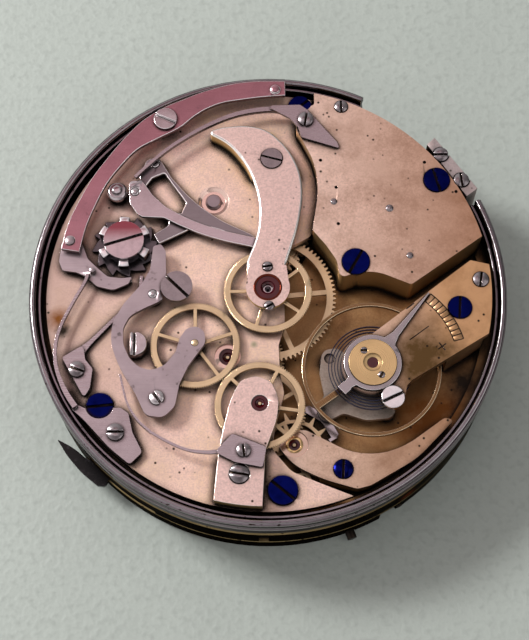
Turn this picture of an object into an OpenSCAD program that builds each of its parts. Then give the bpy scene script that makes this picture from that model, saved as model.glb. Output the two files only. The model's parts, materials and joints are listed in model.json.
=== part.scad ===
// Movement of a single-button chronograph pocket watch, lying on its dial side.
// Millimetres. The centre arbor is the Z axis and the rest face of the dial side is z = 0.

/* [Frame and rings] */
// Radius of the two plates and of the cock's outer end; the layout of the works scales with it
plate_r = 20.4; // [20.2:0.1:20.5]
// Width by which the open dust ring stands out past the plates
dust_w = 1.5; // [1.4:0.1:2.0]
// Height of the dust ring's top over the chronograph plate
dust_h = 1; // [0.7:0.1:1.3]
// Width by which the dial side ring stands out past the plates
dial_ring_w = 1.4; // [1.2:0.1:1.8]
// Depth of the dial side from the rest face to the main plate
dial_depth = 3.2; // [3.0:0.1:3.6]
// Thickness of the main plate
plate_t = 2.7; // [2.7:0.1:3.0]
// Thickness of the main plate's rim flange
flange_t = 0.4; // [0.3:0.05:0.4]
// Direction of the end of the dust ring next to the winding stem
gap_start = 64.5; // [60:1:70]
// Direction of the end of the dust ring under the case clamp
gap_end = 24; // [20:1:26]

/* [Bridges] */
// Height of the room between the main plate and the chronograph plate
train_h = 1.85; // [1.75:0.05:2.1]
// Thickness of the chronograph plate
works_t = 0.75; // [0.6:0.05:0.8]
// Height of the large bridge and of the balance cock over the chronograph plate
bridge_h = 1.5; // [1.45:0.05:1.7]
// Thickness of the balance cock over the balance
cock_t = 0.85; // [0.7:0.05:0.9]
// Depth of the escape bridge's top below that of the chronograph plate
escape_drop = 0.5; // [0.4:0.05:0.6]
// Thickness of the escape bridge over the escape wheel
escape_bridge_t = 0.6; // [0.5:0.05:0.7]
// Depth of the pallet bridge's top below that of the chronograph plate
pallet_drop = 1; // [0.95:0.05:1.1]
// Height of the chronograph bridge's top over that of the large bridge
chrono_rise = 0.3; // [0.2:0.05:0.5]
// Thickness of the chronograph bridge over the heart cam
chrono_bridge_t = 0.45; // [0.4:0.05:0.5]
// Thickness of the tongue of the cock over the driving wheel
drive_cock_t = 0.6; // [0.4:0.05:0.65]

/* [Going train] */
// Place of the barrel arbor
barrel_at = [-5, 9.4];
// Place of the third arbor
third_at = [-3.74, -5.96];
// Place of the fourth arbor
fourth_at = [-0.85, -10.88];
// Place of the escape arbor
escape_at = [2.19, -14.16];
// Place of the pallet arbor
pallet_at = [5.05, -11.4];
// Place of the balance staff
balance_at = [9.3, -7.3];
// Teeth of the barrel
barrel_teeth = 96; // [84:1:108]
// Leaves of the centre pinion
centre_leaves = 12; // [10:1:14]
// Teeth of the centre wheel
centre_teeth = 88; // [80:1:96]
// Leaves of the third pinion
third_leaves = 12; // [10:1:14]
// Teeth of the third wheel
third_teeth = 90; // [80:1:96]
// Leaves of the fourth pinion
fourth_leaves = 11; // [10:1:14]
// Teeth of the fourth wheel
fourth_teeth = 80; // [70:1:90]
// Leaves of the escape pinion
escape_leaves = 8; // [7:1:9]
// Teeth of the escape wheel
escape_teeth = 15; // [15:1:15]
// Thickness of the train wheels
wheel_t = 0.3; // [0.2:0.05:0.35]

/* [Balance] */
// Outer radius of the balance rim
balance_r = 6.35; // [6.1:0.05:6.5]
// Width of the balance rim
balance_rim_w = 0.35; // [0.3:0.05:0.7]
// Height of the balance rim
balance_rim_h = 0.45; // [0.3:0.05:0.5]
// Outer radius of the hairspring
spring_r = 4; // [3.8:0.1:4.2]
// Turns of the hairspring
spring_turns = 5; // [4:1:5]
// Thickness of the hairspring's strip
spring_t = 0.1; // [0.08:0.01:0.12]
// Height of the hairspring's strip
spring_h = 0.25; // [0.2:0.05:0.3]

/* [Chronograph works] */
// Depth to which the teeth of the driving and coupling wheels reach into each other
fine_mesh = 0.06; // [0.04:0.01:0.1]
// Teeth of the driving, coupling and chronograph wheels
fine_teeth = 120; // [100:2:140]
// Place of the coupling wheel's arbor while the chronograph stands still
coupling_at = [-6.64, -5.16];
// Pivot of the coupling lever
coupling_pivot = [-10.5, -0.4];
// Place of the column wheel
column_at = [-13.2, 4.8];
// Columns of the column wheel
columns = 6; // [5:1:7]
// Pivot of the operating lever
operating_pivot = [-9.5, 17.2];
// Pivot of the pawl at the end of the operating lever
pawl_pivot = [-18.2, 4.9];
// Pivot of the hammer
hammer_pivot = [-12.3, 9.9];
// Pivot of the brake lever
brake_pivot = [-10.5, 13];
// Thickness of the steel levers
lever_t = 0.5; // [0.4:0.05:0.55]

/* [Winding and hands] */
// Place of the intermediate winding wheel
winding_at = [1.94, 11.66];
// Place of the crown wheel
crown_at = [8.51, 11.08];
// Radius of the stem's hole in the main plate
stem_r = 0.55; // [0.5:0.05:0.6]
// Depth of the stem's axis below the top of the main plate
stem_drop = 0.9; // [0.85:0.05:1]
// Length of the stem's hole in the rim of the main plate
stem_hole_l = 3; // [2.5:0.5:3.5]
// Radius of the pinion that the hour wheel turns round
cannon_r = 0.9; // [0.8:0.05:1.0]
// Place of the minute wheel
minute_at = [3.4, 2.2];

/* [Fits] */
// Radial clearance of a pivot in its hole
pivot_gap = 0.03; // [0.02:0.01:0.06]
// Clearance between parts that pass each other
pass_gap = 0.15; // [0.1:0.05:0.2]
// Clearance of a screw head in its sink
sink_gap = 0.08; // [0.05:0.01:0.1]

/* [Hidden] */

// Colours as the photograph shows them.
gilt = "#c9a58f";
nickel = "#b9aba4";
steel = "#a79fa6";
dark_steel = "#5a5458";
blued = "#141c5c";
brass = "#c8b384";
ruby = "#8c1030";

// The layout is drawn for a plate of this radius, and all its places are multiplied by plan.
drawn_r = 20.4;
plan = plate_r / drawn_r;
function apart(a, b) = plan * norm(a - b);

// Rings round the plates.
dust_r = plate_r + dust_w;
dial_ring_r = plate_r + dial_ring_w;
ring_gap = 0.1;
dial_ring_bore = plate_r + ring_gap;
flange_r = max(dial_ring_r, plate_r + 0.6 * dust_w) - 0.1;
flange_in = plate_r - 0.3;
foot_r = flange_in - 0.05;

// Centre distances settle the size of each pair of teeth.
function pair_module(a, b, na, nb) = 2 * apart(a, b) / (na + nb);
barrel_m = pair_module(barrel_at, [0, 0], barrel_teeth, centre_leaves);
centre_m = pair_module([0, 0], third_at, centre_teeth, third_leaves);
third_m = pair_module(third_at, fourth_at, third_teeth, fourth_leaves);
fourth_m = pair_module(fourth_at, escape_at, fourth_teeth, escape_leaves);
barrel_pr = barrel_m * barrel_teeth / 2;
centre_pr = centre_m * centre_teeth / 2;
third_pr = third_m * third_teeth / 2;
fourth_pr = fourth_m * fourth_teeth / 2;
escape_r = 0.8554 * apart(escape_at, pallet_at);
fine_wheel_r = (apart(fourth_at, coupling_at) + fine_mesh) / 2;

// Levels of the plates and bridges, from the dial side upwards.
plate_z = dial_depth;
plate_top = plate_z + plate_t;
flange_top = plate_top + flange_t;
works_z = plate_top + train_h;
works_top = works_z + works_t;
dust_top = works_top + dust_h;
bridge_top = works_top + bridge_h;
cock_z = bridge_top - cock_t;
escape_bridge_top = works_top - escape_drop;
pallet_bridge_top = works_top - pallet_drop;
chrono_bridge_top = bridge_top + chrono_rise;
drive_cock_top = bridge_top;

// Levels and radii of the train, from the main plate upwards.
centre_wheel_z = works_z - pass_gap - wheel_t - 0.05;
fourth_wheel_t = 0.25;
fourth_wheel_z = centre_wheel_z - fourth_wheel_t;
low_wheel_z = plate_top + 0.35;
escape_z = plate_top + 0.45;
escape_t = 0.22;
barrel_floor = plate_z + 1.1;
barrel_z = barrel_floor + pass_gap;
barrel_top = plate_top + 1;
barrel_pivot_r = 0.75;
barrel_hub_r = 1.5;
// The polished dish in the chronograph plate round the barrel arbor.
dish_r = 1.5;
dish_d = 0.3;
barrel_out = barrel_pr - 0.45;
barrel_in = barrel_out - 0.4;
winding_z = barrel_top + 0.2;
winding_t = 0.4;
pivot_r = 0.14;
pivot_deep = 0.5;
fourth_arbor_r = 0.35;
escape_turn = 4;
wheel_room = 0.45;
barrel_room = barrel_pr + 0.4;
centre_room = centre_pr + 0.4;
third_room = third_pr + wheel_room;
fourth_room = fourth_pr + wheel_room;
escape_room = escape_r + 0.35;
balance_room = balance_r + 0.4;

// The pieces round the centre arbor, one inside the other.
sweep_arbor_r = 0.3;
sweep_arbor_z = 0.45;
centre_pipe_bore = sweep_arbor_r + 0.05;
centre_pipe_r = 0.62;
centre_pipe_z = 0.95;
centre_bore_r = centre_pipe_r + pivot_gap;
cannon_z = 1;
hour_post_r = 1.3;
hour_post_z = 1.3;
hour_pipe_r = 1.1;
cannon_teeth = 12;
minute_teeth = 36;
minute_leaves = 10;
hour_teeth = 40;
motion_m = pair_module([0, 0], minute_at, cannon_teeth, minute_teeth);
hour_m = pair_module([0, 0], minute_at, hour_teeth, minute_leaves);
hour_z = plate_z - 1.5;
minute_z = plate_z - 0.6;
minute_post_r = 0.35;
setting_z = plate_z - 0.7;
setting_t = 0.5;
setting_post_r = 0.45;
setting_pivot = [-13, -12.5];

// Winding work.
stem_z = plate_top - stem_drop;
stem_angle = atan2(crown_at.y, crown_at.x);
arbor_hole_r = stem_r + 0.2;
stem_socket_r = 0.35;
stem_socket_l = 3.5;
pinion_room = 1.8;
room_out = plate_r - stem_hole_l;
winding_pinion_l = 1.7;
winding_pinion_at = room_out - 0.2 - winding_pinion_l;
sliding_pinion_l = 2.25;
sliding_pinion_at = winding_pinion_at - pivot_gap - sliding_pinion_l;
room_in = sliding_pinion_at - 0.6;
ratchet_teeth = 38;
winding_teeth = 35;
crown_teeth = 31;
winding_m = pair_module(barrel_at, winding_at, ratchet_teeth, winding_teeth);
crown_m = pair_module(winding_at, crown_at, winding_teeth, crown_teeth);
winding_room = winding_m * (winding_teeth / 2 + 0.85) + 0.23;
crown_room = crown_m * (crown_teeth / 2 + 0.85) + 0.18;
wheel_post_r = 0.8;
crown_face_z = stem_z + 1.42;
click_pivot = [-10.1, 12.4];
click_post_r = 0.4;

// Levels of the chronograph works, from the chronograph plate upwards.
ratchet_z = works_top + 0.1;
ratchet_t = 0.25;
pawl_z = ratchet_z + ratchet_t + 0.06;
pawl_t = 0.35;
pawl_blade_z = pawl_z + pawl_t + 0.05;
pawl_pin_r = 0.42;
low_lever_z = works_top + 0.4;
low_lever_t = 0.45;
fine_z = works_top + 0.6;
fine_t = 0.25;
tooth_d = 0.16;
heart_z = fine_z + fine_t;
heart_t = 0.4;
hammer_z = heart_z + 0.07;
hammer_t = 0.4;
coupling_z = heart_z + pass_gap;
coupling_pin_r = 0.3;
column_top = coupling_z + lever_t;
column_bore = 0.8;
operating_z = works_top + 1.1;
spring_foot_t = 0.3;
thick_foot_t = 0.6;
stud_r = 0.4;
stud_gap = 0.02;
stop_at = [-11.9, -5.1];
post_at = [-13.95, 9.9];

// Balance.
balance_top = works_top;
balance_z = balance_top - balance_rim_h;
spring_z = balance_top + pass_gap;
staff_z = plate_top - pivot_deep + 0.03;
staff_r = 0.4;
cap_r = 2.15;
pointer_l = 8.5;
scale_in = 7.65;
scale_out = 8.55;
scale_d = 0.04;
lever_line = toward(pallet_at, balance_at);
fork_len = apart(balance_at, pallet_at) - 0.8;
stud_hole_r = 0.5;
stud_head_r = 1.05;
regulator_r = cap_r + 0.45;
stud_turn = -62.7;
stud_at = balance_at + (regulator_r + stud_head_r + pivot_gap) / plan * [cos(stud_turn), sin(stud_turn)];

// Jewels and their settings.
centre_setting_r = 1.3;
centre_jewel_r = 1.1;
fourth_jewel_r = 0.74;
third_jewel_r = 0.79;
escape_setting_r = 0.79;
escape_jewel_r = 0.5;
balance_jewel_r = 0.49;

// Outline helpers.
function unit(v) = v / norm(v);
function rev(l) = [for (i = [len(l) - 1:-1:0]) l[i]];
function arc(c, r, a0, a1, n = 24) =
    [for (i = [0:n]) let (a = a0 + (a1 - a0) * i / n) c + r * [cos(a), sin(a)]];

// The points of one corner rounded to radius r, between its neighbours p and n.
function corner(p, c, n, r, k = 5) =
    let (a = unit(p - c), b = unit(n - c))
    norm(a + b) < 0.02 || r == 0 ? [c] :
    let (half = acos(a * b) / 2,
        t = min(r / tan(half), 0.48 * min(norm(p - c), norm(n - c))),
        rr = t * tan(half),
        o = c + unit(a + b) * rr / sin(half),
        s = c + a * t - o,
        e = c + b * t - o,
        a0 = atan2(s.y, s.x),
        d = (atan2(e.y, e.x) - a0 + 540) % 360 - 180)
    arc(o, rr, a0, a0 + d, k);

// A closed outline of [x, y, corner radius] points.
function soft(p) = [for (i = [0:len(p) - 1])
    let (a = p[(i + len(p) - 1) % len(p)], c = p[i], n = p[(i + 1) % len(p)])
    each corner(plan * [a.x, a.y], plan * [c.x, c.y], plan * [n.x, n.y], plan * c[2])];

// A smooth curve through [x, y, width] points.
function curve_at(a, b, c, d, t) =
    0.5 * (2 * b + (c - a) * t + (2 * a - 5 * b + 4 * c - d) * t * t
    + (3 * b - a - 3 * c + d) * t * t * t);
function curve(p, k = 5) = concat([for (i = [0:len(p) - 2], j = [0:k - 1])
    curve_at(p[max(i - 1, 0)], p[i], p[i + 1], p[min(i + 2, len(p) - 1)], j / k)],
    [p[len(p) - 1]]);
function edge(c, s) = [for (i = [0:len(c) - 1])
    let (d = c[min(i + 1, len(c) - 1)] - c[max(i - 1, 0)], t = unit([d.x, d.y]))
    [c[i].x - s * t.y * c[i][2] / 2, c[i].y + s * t.x * c[i][2] / 2]];

// A flat strip of changing width along a smooth curve.
module strip(p, k = 5) {
    c = curve(plan * p, k);
    polygon(concat(edge(c, 1), rev(edge(c, -1))));
}
module slab(z0, z1) translate([0, 0, z0]) linear_extrude(z1 - z0) children();
module at(p, z = 0) translate([plan * p.x, plan * p.y, z]) children();
module disc(p, r, z0, z1, fn = 48) at(p, z0) cylinder(r = r, h = z1 - z0, $fn = fn);
module spot(p, r, fn = 48) translate(plan * p) circle(r, $fn = fn);

// A toothed outline with n teeth on pitch radius pr.
function teeth(n, pr, m, turn = 0) = [for (i = [0:n - 1])
    let (s = 360 / n, a = turn + i * s)
    each [(pr - 1.15 * m) * [cos(a - 0.3 * s), sin(a - 0.3 * s)],
        pr * [cos(a - 0.21 * s), sin(a - 0.21 * s)],
        (pr + 0.85 * m) * [cos(a - 0.07 * s), sin(a - 0.07 * s)],
        (pr + 0.85 * m) * [cos(a + 0.07 * s), sin(a + 0.07 * s)],
        pr * [cos(a + 0.21 * s), sin(a + 0.21 * s)],
        (pr - 1.15 * m) * [cos(a + 0.3 * s), sin(a + 0.3 * s)]]];

// The pointed fine teeth of the chronograph wheels.
function fine(n, r, d, turn = 0) = [for (i = [0:n - 1]) let (s = 360 / n, a = turn + i * s)
    each [r * [cos(a), sin(a)], (r - d) * [cos(a + s / 2), sin(a + s / 2)]]];

// Direction of b seen from a.
function toward(a, b) = atan2(b.y - a.y, b.x - a.x);

// Half a tooth of turn, so that a gap meets the other wheel's tooth.
function mesh_turn(a, b, n) = toward(a, b) + 180 / n;

module spokes(n, r0, r1, w, turn) for (i = [0:n - 1])
    rotate(turn + i * 360 / n) translate([r0, -w / 2]) square([r1 - r0, w]);

// A wheel of crossed-out form from a toothed outline.
module crossed(outline, rim, hub, arms, arm_w, turn, bore) difference() {
    union() {
        difference() {
            polygon(outline);
            circle(rim, $fn = 96);
        }
        circle(hub, $fn = 48);
        spokes(arms, 0, rim + 0.05, arm_w, turn);
    }
    circle(bore, $fn = 32);
}

// A slotted cheese-head screw with its head's underside at z.
module screw(p, r, z, h, turn, shank_r, shank_l, slot_w = 0.22, slot_d = 0.25) at(p, z) difference() {
    union() {
        cylinder(r = r, h = h, $fn = 48);
        translate([0, 0, -shank_l]) cylinder(r = shank_r, h = shank_l + 0.05, $fn = 32);
    }
    rotate(turn) translate([-r - 0.1, -slot_w / 2, h - slot_d]) cube([2 * r + 0.2, slot_w, slot_d + 1]);
}

// Screws as [place, head radius, turn of the slot]. The same lists drill the plates.
works_blue = [[[3.3, 19.1], 1.1, 40], [[1.1, -18.5], 1.3, -40], [[-15.2, -10.6], 1.2, 5]];
bridge_blue = [[[15.9, 10.6], 1.2, 104], [[8.1, 2.5], 1.25, 60]];
cock_blue = [[17.4, -2.1], 1.05, 85];
escape_blue = [[6.5, -16.5], 0.85, 85];
bridge_steel = [[7.2, 18.4], 0.6, 90];
cock_steel = [[19.45, 0.6], 0.7, 80];
clamp_steel = [[[16.45, 13.3], 0.7, 0], [[18.25, 10.66], 0.7, 95]];
chrono_bridge_screw = [[0.5, 12.9], 1, -16];
drive_cock_screw = [[-2.7, -17.3], 0.85, -10];
coupling_spring_screw = [[-2.3, -15.3], 0.6, 95];
hammer_spring_screw = [[3.8, 16.9], 0.7, 80];
column_jumper_screw = [[-17.3, -7.3], 0.7, -20];
pawl_spring_screw = [[-13.7, -13.2], 0.75, 0];
lower_bridge_screw = [[-10, -10.3], 0.65, -55];
chaton_screws = [[[0, 2], 0.42, 10], [[0.1, -1.85], 0.42, 30]];
cap_screws = [[[8.55, -6.2], 0.3, 0], [[10.05, -8.5], 0.3, 60]];
// Pins that place the movement in its case, as [direction, radius, length outside the ring, level].
ring_pins = [[-70.6, 0.45, 0.75, 0.75], [-56.9, 0.3, 0.15, 1.2]];
ring_pin_seat = 0.85;
// The recess beside the second pin, as directions of its two ends.
recess_ends = [-62.5, -57.8];
recess_d = 0.6;
// Ends of the large bridge's steady pins, as [x, y, radius].
steady_pins = [[11.4, 7.8, 0.35], [13.1, 3.05, 0.3], [6.25, 8.55, 0.3]];
steady_pin_l = 0.6;
retaining_at = [-8.3, 0.2];
shank = 0.4;

module shank_holes(list, r, z0, z1) for (s = list) disc(s[0], r, z0, z1, 32);
module sinks(list, depth, top) for (s = list) disc(s[0], s[1] + sink_gap, top - depth, top + 1);

// Frame
module on_stem() rotate(stem_angle) children();
module along_stem(r0, r1, rad, fn = 48) on_stem() translate([r0, 0, stem_z])
    rotate([0, 90, 0]) cylinder(r = rad, h = r1 - r0, $fn = fn);
module ring_pin(q, seat, out, gap) rotate(q[0]) translate([dial_ring_r - seat, 0, q[3]])
    rotate([0, 90, 0]) cylinder(r = q[1] + gap, h = seat + out, $fn = 48);
module pinion_slot(z0, z1) slab(z0, z1) on_stem()
    translate([room_in, -pinion_room]) square([room_out - room_in, 2 * pinion_room]);

module main_plate() color(gilt) difference() {
    union() {
        rotate_extrude($fn = 180) polygon([[0, plate_z], [plate_r, plate_z], [plate_r, plate_top],
            [flange_r, plate_top], [flange_r, flange_top], [flange_in, flange_top],
            [flange_in, plate_top], [0, plate_top]]);
        disc(minute_at, minute_post_r, hour_z, plate_z + 0.1, 32);
        disc(setting_pivot, setting_post_r, setting_z - 0.1, plate_z + 0.1, 32);
    }
    disc(barrel_at, barrel_room, barrel_floor, flange_top + 1, 120);
    disc([0, 0], centre_bore_r, plate_z - 1, plate_top + 1, 32);
    for (p = [third_at, fourth_at, escape_at, pallet_at, balance_at])
        disc(p, pivot_r + pivot_gap, plate_top - pivot_deep, plate_top + 1, 24);
    disc(barrel_at, barrel_pivot_r + pivot_gap, plate_z - 1, plate_top, 32);
    along_stem(room_out - 1, dial_ring_r + 1, arbor_hole_r);
    pinion_slot(plate_z + 0.15, flange_top + 1);
}

module dial_side_ring() color(brass) difference() {
    rotate_extrude($fn = 180) polygon([[dial_ring_bore, 0], [dial_ring_r - 0.3, 0],
        [dial_ring_r, 0.3], [dial_ring_r, plate_z - 1], [dial_ring_r - 0.15, plate_z - 0.85],
        [dial_ring_r, plate_z - 0.7], [dial_ring_r, plate_top - 0.6],
        [dial_ring_r - 0.25, plate_top - 0.4], [dial_ring_r - 0.1, plate_top - 0.2],
        [dial_ring_r - 0.1, plate_top], [dial_ring_bore, plate_top]]);
    along_stem(dial_ring_bore - 1, dial_ring_r + 1, arbor_hole_r + 0.3);
    for (q = ring_pins) ring_pin(q, ring_pin_seat, 1, 0.01);
    slab(-1, plate_z - 1.1) polygon(concat(
        arc([0, 0], dial_ring_r - recess_d, recess_ends[0], recess_ends[1], 6),
        arc([0, 0], dial_ring_r + 1, recess_ends[1], recess_ends[0], 6)));
    // The setting lever swings through this slot.
    slab(setting_z - pass_gap, plate_z) polygon(concat(arc([0, 0], dial_ring_bore - 1, 219, 241, 6),
        arc([0, 0], dial_ring_r + 1, 241, 219, 6)));
    // Locating notch at the front.
    slab(plate_z - 0.6, plate_z + 1) translate([-1.1, -dial_ring_r - 0.5]) square([0.9, 1]);
}

// The dust ring is open at the winding stem.
dust_in = plate_r + 0.45;
module dust_profile() polygon([[dust_in + 0.15, flange_top], [dust_r - 0.15, flange_top],
    [dust_r, flange_top + 0.2], [dust_r, flange_top + 1.3], [dust_r - 0.2, flange_top + 1.5],
    [dust_r - 0.2, dust_top - 1.1], [dust_r, dust_top - 0.9], [dust_r, dust_top - 0.25],
    [dust_r - 0.25, dust_top], [dust_r - 0.5, dust_top], [dust_in + 0.4, dust_top - 0.2],
    [dust_in + 0.4, dust_top - 0.9], [dust_in + 0.25, dust_top - 0.95],
    [dust_in + 0.25, dust_top - 0.55], [dust_in, dust_top - 0.55],
    [dust_in, dust_top - 1.4], [dust_in + 0.15, dust_top - 1.6]]);
module dust_ring() color(dark_steel) rotate(gap_start)
    rotate_extrude(angle = 360 - gap_start + gap_end, $fn = 180) dust_profile();

// Outline of the chronograph plate: the rim from the large bridge round to the escape bridge.
bridge_edge = [[4.65, 25, 0], [4.65, 18.6, 0.3], [2.9, 18.3, 0.3], [2.9, 15.9, 0.3],
    [3.3, 15.2, 0.5], [4.6, 12.5, 12], [4.85, 9.6, 12], [4.2, 5.7, 0.6]];
works_edge = [[2.6, 4.9, 0.5], [1.5, 4.4, 0.5], [1.5, -2.9, 0.5], [0.9, -5, 1], [1, -7.6, 1],
    [1.35, -9.6, 1.5], [0.5, -12.6, 2], [0.15, -14.7, 1.2], [1.9, -16.8, 2], [4.7, -18, 2],
    [7.4, -19.1, 0], [9, -25, 0], [-25, -25, 0], [-25, 25, 0]];
balance_side = [[5.4, 4.2, 1.5], [6.4, 2.6, 2], [6.6, 0.9, 0.5], [8.2, 1.5, 1.5], [10.1, 1.5, 12],
    [13.1, 0.2, 0.4], [20.5, 5.35, 0], [25, 8, 0], [25, 25, 0]];
split = 0.12;
function shifted(p, d) = [for (q = p) [q.x + d, q.y, q[2]]];
module works_outline() intersection() {
    circle(plate_r, $fn = 180);
    polygon(soft(concat(shifted(bridge_edge, -split), works_edge)));
}
module train_room() {
    spot(barrel_at, barrel_room, 120);
    spot(third_at, third_room, 96);
    spot(fourth_at, fourth_room, 96);
    spot(escape_at, escape_room, 72);
    spot([0, 0], centre_room, 96);
    spot(winding_at, winding_room, 72);
}
module chronograph_plate() color(gilt) difference() {
    union() {
        slab(works_z, works_top) works_outline();
        slab(plate_top, works_z + 0.01) difference() {
            intersection() {
                works_outline();
                polygon(concat(arc([0, 0], foot_r, 148, 277, 60),
                    arc([0, 0], plan * 13.2, 277, 148, 60)));
            }
            train_room();
        }
        disc(winding_at, wheel_post_r, winding_z - 0.05, works_z + 0.01);
        disc(click_pivot, click_post_r, winding_z - 0.05, works_z + 0.01, 32);
    }
    disc([0, 0], centre_bore_r, works_z - 1, works_top + 1, 32);
    disc(fourth_at, fourth_arbor_r + pass_gap, works_z - 1, works_top + 1, 32);
    disc(barrel_at, barrel_pivot_r + pivot_gap, works_z - 1, works_top + 1);
    at(barrel_at, works_top - dish_d)
        cylinder(r1 = dish_r - 0.4, r2 = dish_r + 0.1, h = dish_d + 0.1, $fn = 64);
    disc(third_at, third_jewel_r + 0.01, works_z - 1, works_top + 1);
    disc(third_at, third_jewel_r + 0.4, works_top - 0.25, works_top + 1);
    shank_holes(works_blue, shank, works_z - 1, works_top + 1);
    sinks(works_blue, 0.25, works_top);
    for (s = [chrono_bridge_screw, drive_cock_screw, column_jumper_screw, pawl_spring_screw])
        disc(s[0], shank, works_z - 1, works_top + 1, 32);
    for (p = [operating_pivot, coupling_pivot, hammer_pivot, brake_pivot, column_at, retaining_at,
        stop_at, post_at]) disc(p, stud_r, works_z - 1, works_top + 1, 32);
}

module large_outline() intersection() {
    circle(plate_r, $fn = 180);
    polygon(soft(concat(bridge_edge, balance_side)));
}
module large_bridge() color(gilt) difference() {
    slab(plate_top, bridge_top) large_outline();
    slab(plate_top - 1, works_z) spot(barrel_at, barrel_room, 120);
    slab(plate_top - 1, works_z) spot([0, 0], centre_room, 96);
    slab(barrel_top + 0.05, works_z) spot(winding_at, winding_room, 72);
    difference() {
        slab(crown_face_z - 0.1, works_z) spot(crown_at, crown_room, 72);
        disc(crown_at, wheel_post_r, plate_top, bridge_top);
    }
    pinion_slot(plate_top - 1, barrel_top);
    // The flange and the bridge's foot keep apart.
    slab(plate_top - 1, flange_top + 0.02) difference() {
        circle(plate_r + 1, $fn = 180);
        circle(foot_r, $fn = 180);
    }
    // Room for the heads of the neighbouring screws.
    sinks([works_blue[0]], works_t, works_top + 0.5);
    sinks(clamp_steel, 0.5, bridge_top);
    sinks(bridge_blue, 0.3, bridge_top);
    shank_holes(bridge_blue, shank, bridge_top - 2.4, bridge_top + 1);
    sinks([bridge_steel], 0.3, bridge_top);
    disc(hammer_spring_screw[0], shank, works_z, bridge_top + 1, 32);
    shank_holes([bridge_steel], shank, bridge_top - 2.4, bridge_top + 1);
    for (p = [[5.1, 12.8], [6.5, 10], [6.6, 6.3], [14.85, 12.45], [17.65, 9.4]])
        disc(p, 0.16, bridge_top - 0.4, bridge_top + 1, 24);
    for (p = steady_pins) disc(p, p[2] + 0.01, bridge_top - steady_pin_l, bridge_top + 1, 32);
}

function escape_outline() = soft([[0.7, -14.3, 0.3], [2.9, -12.7, 1], [4.6, -13.6, 1.5], [7.2, -15, 16],
    [9.8, -15.2, 16], [12.2, -14.4, 12], [14.3, -12.9, 1], [15.7, -11.9, 0.5], [16.6, -12.1, 0.3],
    [16, -12.66, 0], [13.1, -15.6, 8], [8.9, -18, 2], [7.7, -18.3, 1], [4.7, -17.4, 12],
    [2.1, -16.1, 12]]);
module escape_bridge() color(gilt) difference() {
    union() {
        slab(escape_bridge_top - escape_bridge_t, escape_bridge_top) polygon(escape_outline());
        slab(plate_top, escape_bridge_top) difference() {
            intersection() {
                polygon(escape_outline());
                circle(foot_r, $fn = 180);
            }
            spot(escape_at, escape_room, 72);
            spot(fourth_at, fourth_room, 96);
        }
    }
    disc(escape_at, escape_setting_r + 0.01, works_z - 3, escape_bridge_top + 1);
    disc(escape_at, 1.25, escape_bridge_top - 0.2, escape_bridge_top + 1);
    sinks([escape_blue], 0.25, escape_bridge_top);
    shank_holes([escape_blue], 0.3, escape_bridge_top - 1.4, escape_bridge_top + 1);
}

// The pallet bridge lies under the balance and carries the pallet arbor's upper pivot.
module pallet_bridge() color(nickel) difference() {
    union() {
        slab(pallet_bridge_top - 0.55, pallet_bridge_top) polygon(soft([[4.9, -12.1, 0.9], [4.2, -10.6, 0.8],
            [5, -9.6, 0.6], [4.6, -7.4, 1.5], [4.9, -5.2, 0.9], [6.2, -5, 0.9], [7.6, -5.9, 2],
            [7.8, -7.3, 1.2], [9, -9.2, 1.5], [11.6, -10.6, 1], [11, -11.7, 0.8], [8.7, -11.9, 2],
            [6.7, -11.2, 0.8]]));
        slab(plate_top, pallet_bridge_top - 0.5) {
            spot([5.55, -6], 0.85);
            spot([10.7, -11], 0.6);
        }
    }
    disc(pallet_at, pivot_r + pivot_gap, plate_top, pallet_bridge_top + 1, 24);
    disc([5.55, -6], 0.5, pallet_bridge_top - 0.2, pallet_bridge_top + 1, 32);
}

module cock_outline() intersection() {
    circle(plate_r, $fn = 180);
    union() {
        polygon(soft([[8.2, -5.6, 0.3], [9, -4.8, 0.4], [14.9, -0.3, 2], [18.6, 2.5, 0], [21, 1.9, 0.3],
            [23, -4, 0], [20.4, -4.3, 0.3], [12.8, -8.9, 0.4], [12.3, -9.4, 0.3],
            [12.1, -10.3, 0.6], [11, -11.4, 0.9], [9.8, -10.6, 0.5], [10.9, -8.9, 0.5]]));
        spot(balance_at, cap_r + 0.6);
    }
}
module engraved() slab(bridge_top - scale_d, bridge_top + 1) children();
module balance_cock() color(gilt) difference() {
    union() {
        slab(cock_z, bridge_top) cock_outline();
        slab(plate_top, cock_z + 0.01) difference() {
            intersection() {
                cock_outline();
                circle(foot_r, $fn = 180);
            }
            spot(balance_at, balance_room, 96);
        }
    }
    disc(balance_at, 1.1, cock_z - 1, bridge_top + 1);
    disc(stud_at, stud_hole_r, cock_z - 1, bridge_top + 1);
    sinks([cock_blue, cock_steel], 0.3, bridge_top);
    shank_holes([cock_blue, cock_steel], shank, bridge_top - 2.4, bridge_top + 1);
    // Regulation scale.
    engraved() at(balance_at) {
        for (r = [scale_in, scale_out]) polygon(concat(
            arc([0, 0], r - 0.05, 15, 50, 20), arc([0, 0], r + 0.05, 50, 15, 20)));
        for (i = [0:10]) rotate(15 + i * 3.5) translate([scale_in, -0.05])
            square([scale_out - scale_in, 0.1]);
    }
    // Arrow and the plus and minus signs of the regulation.
    engraved() {
        at([13.6, -4.5]) rotate(36) square([2.2, 0.1], center = true);
        at([12.9, -1.9]) rotate(36) square([0.9, 0.12], center = true);
        for (a = [0, 90]) at([15.6, -5.8]) rotate(36 + a) square([0.9, 0.12], center = true);
    }
}

module endstone_cap() color(brass) difference() {
    union() {
        disc(balance_at, cap_r, bridge_top, bridge_top + 0.35, 64);
        disc(balance_at, 0.9, cock_z + 0.2, bridge_top + 0.01);
    }
    disc(balance_at, balance_jewel_r + 0.01, cock_z, bridge_top + 1, 32);
    disc(balance_at, 0.85, bridge_top + 0.2, bridge_top + 1, 48);
    shank_holes(cap_screws, 0.31, bridge_top + 0.15, bridge_top + 1);
}

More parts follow.
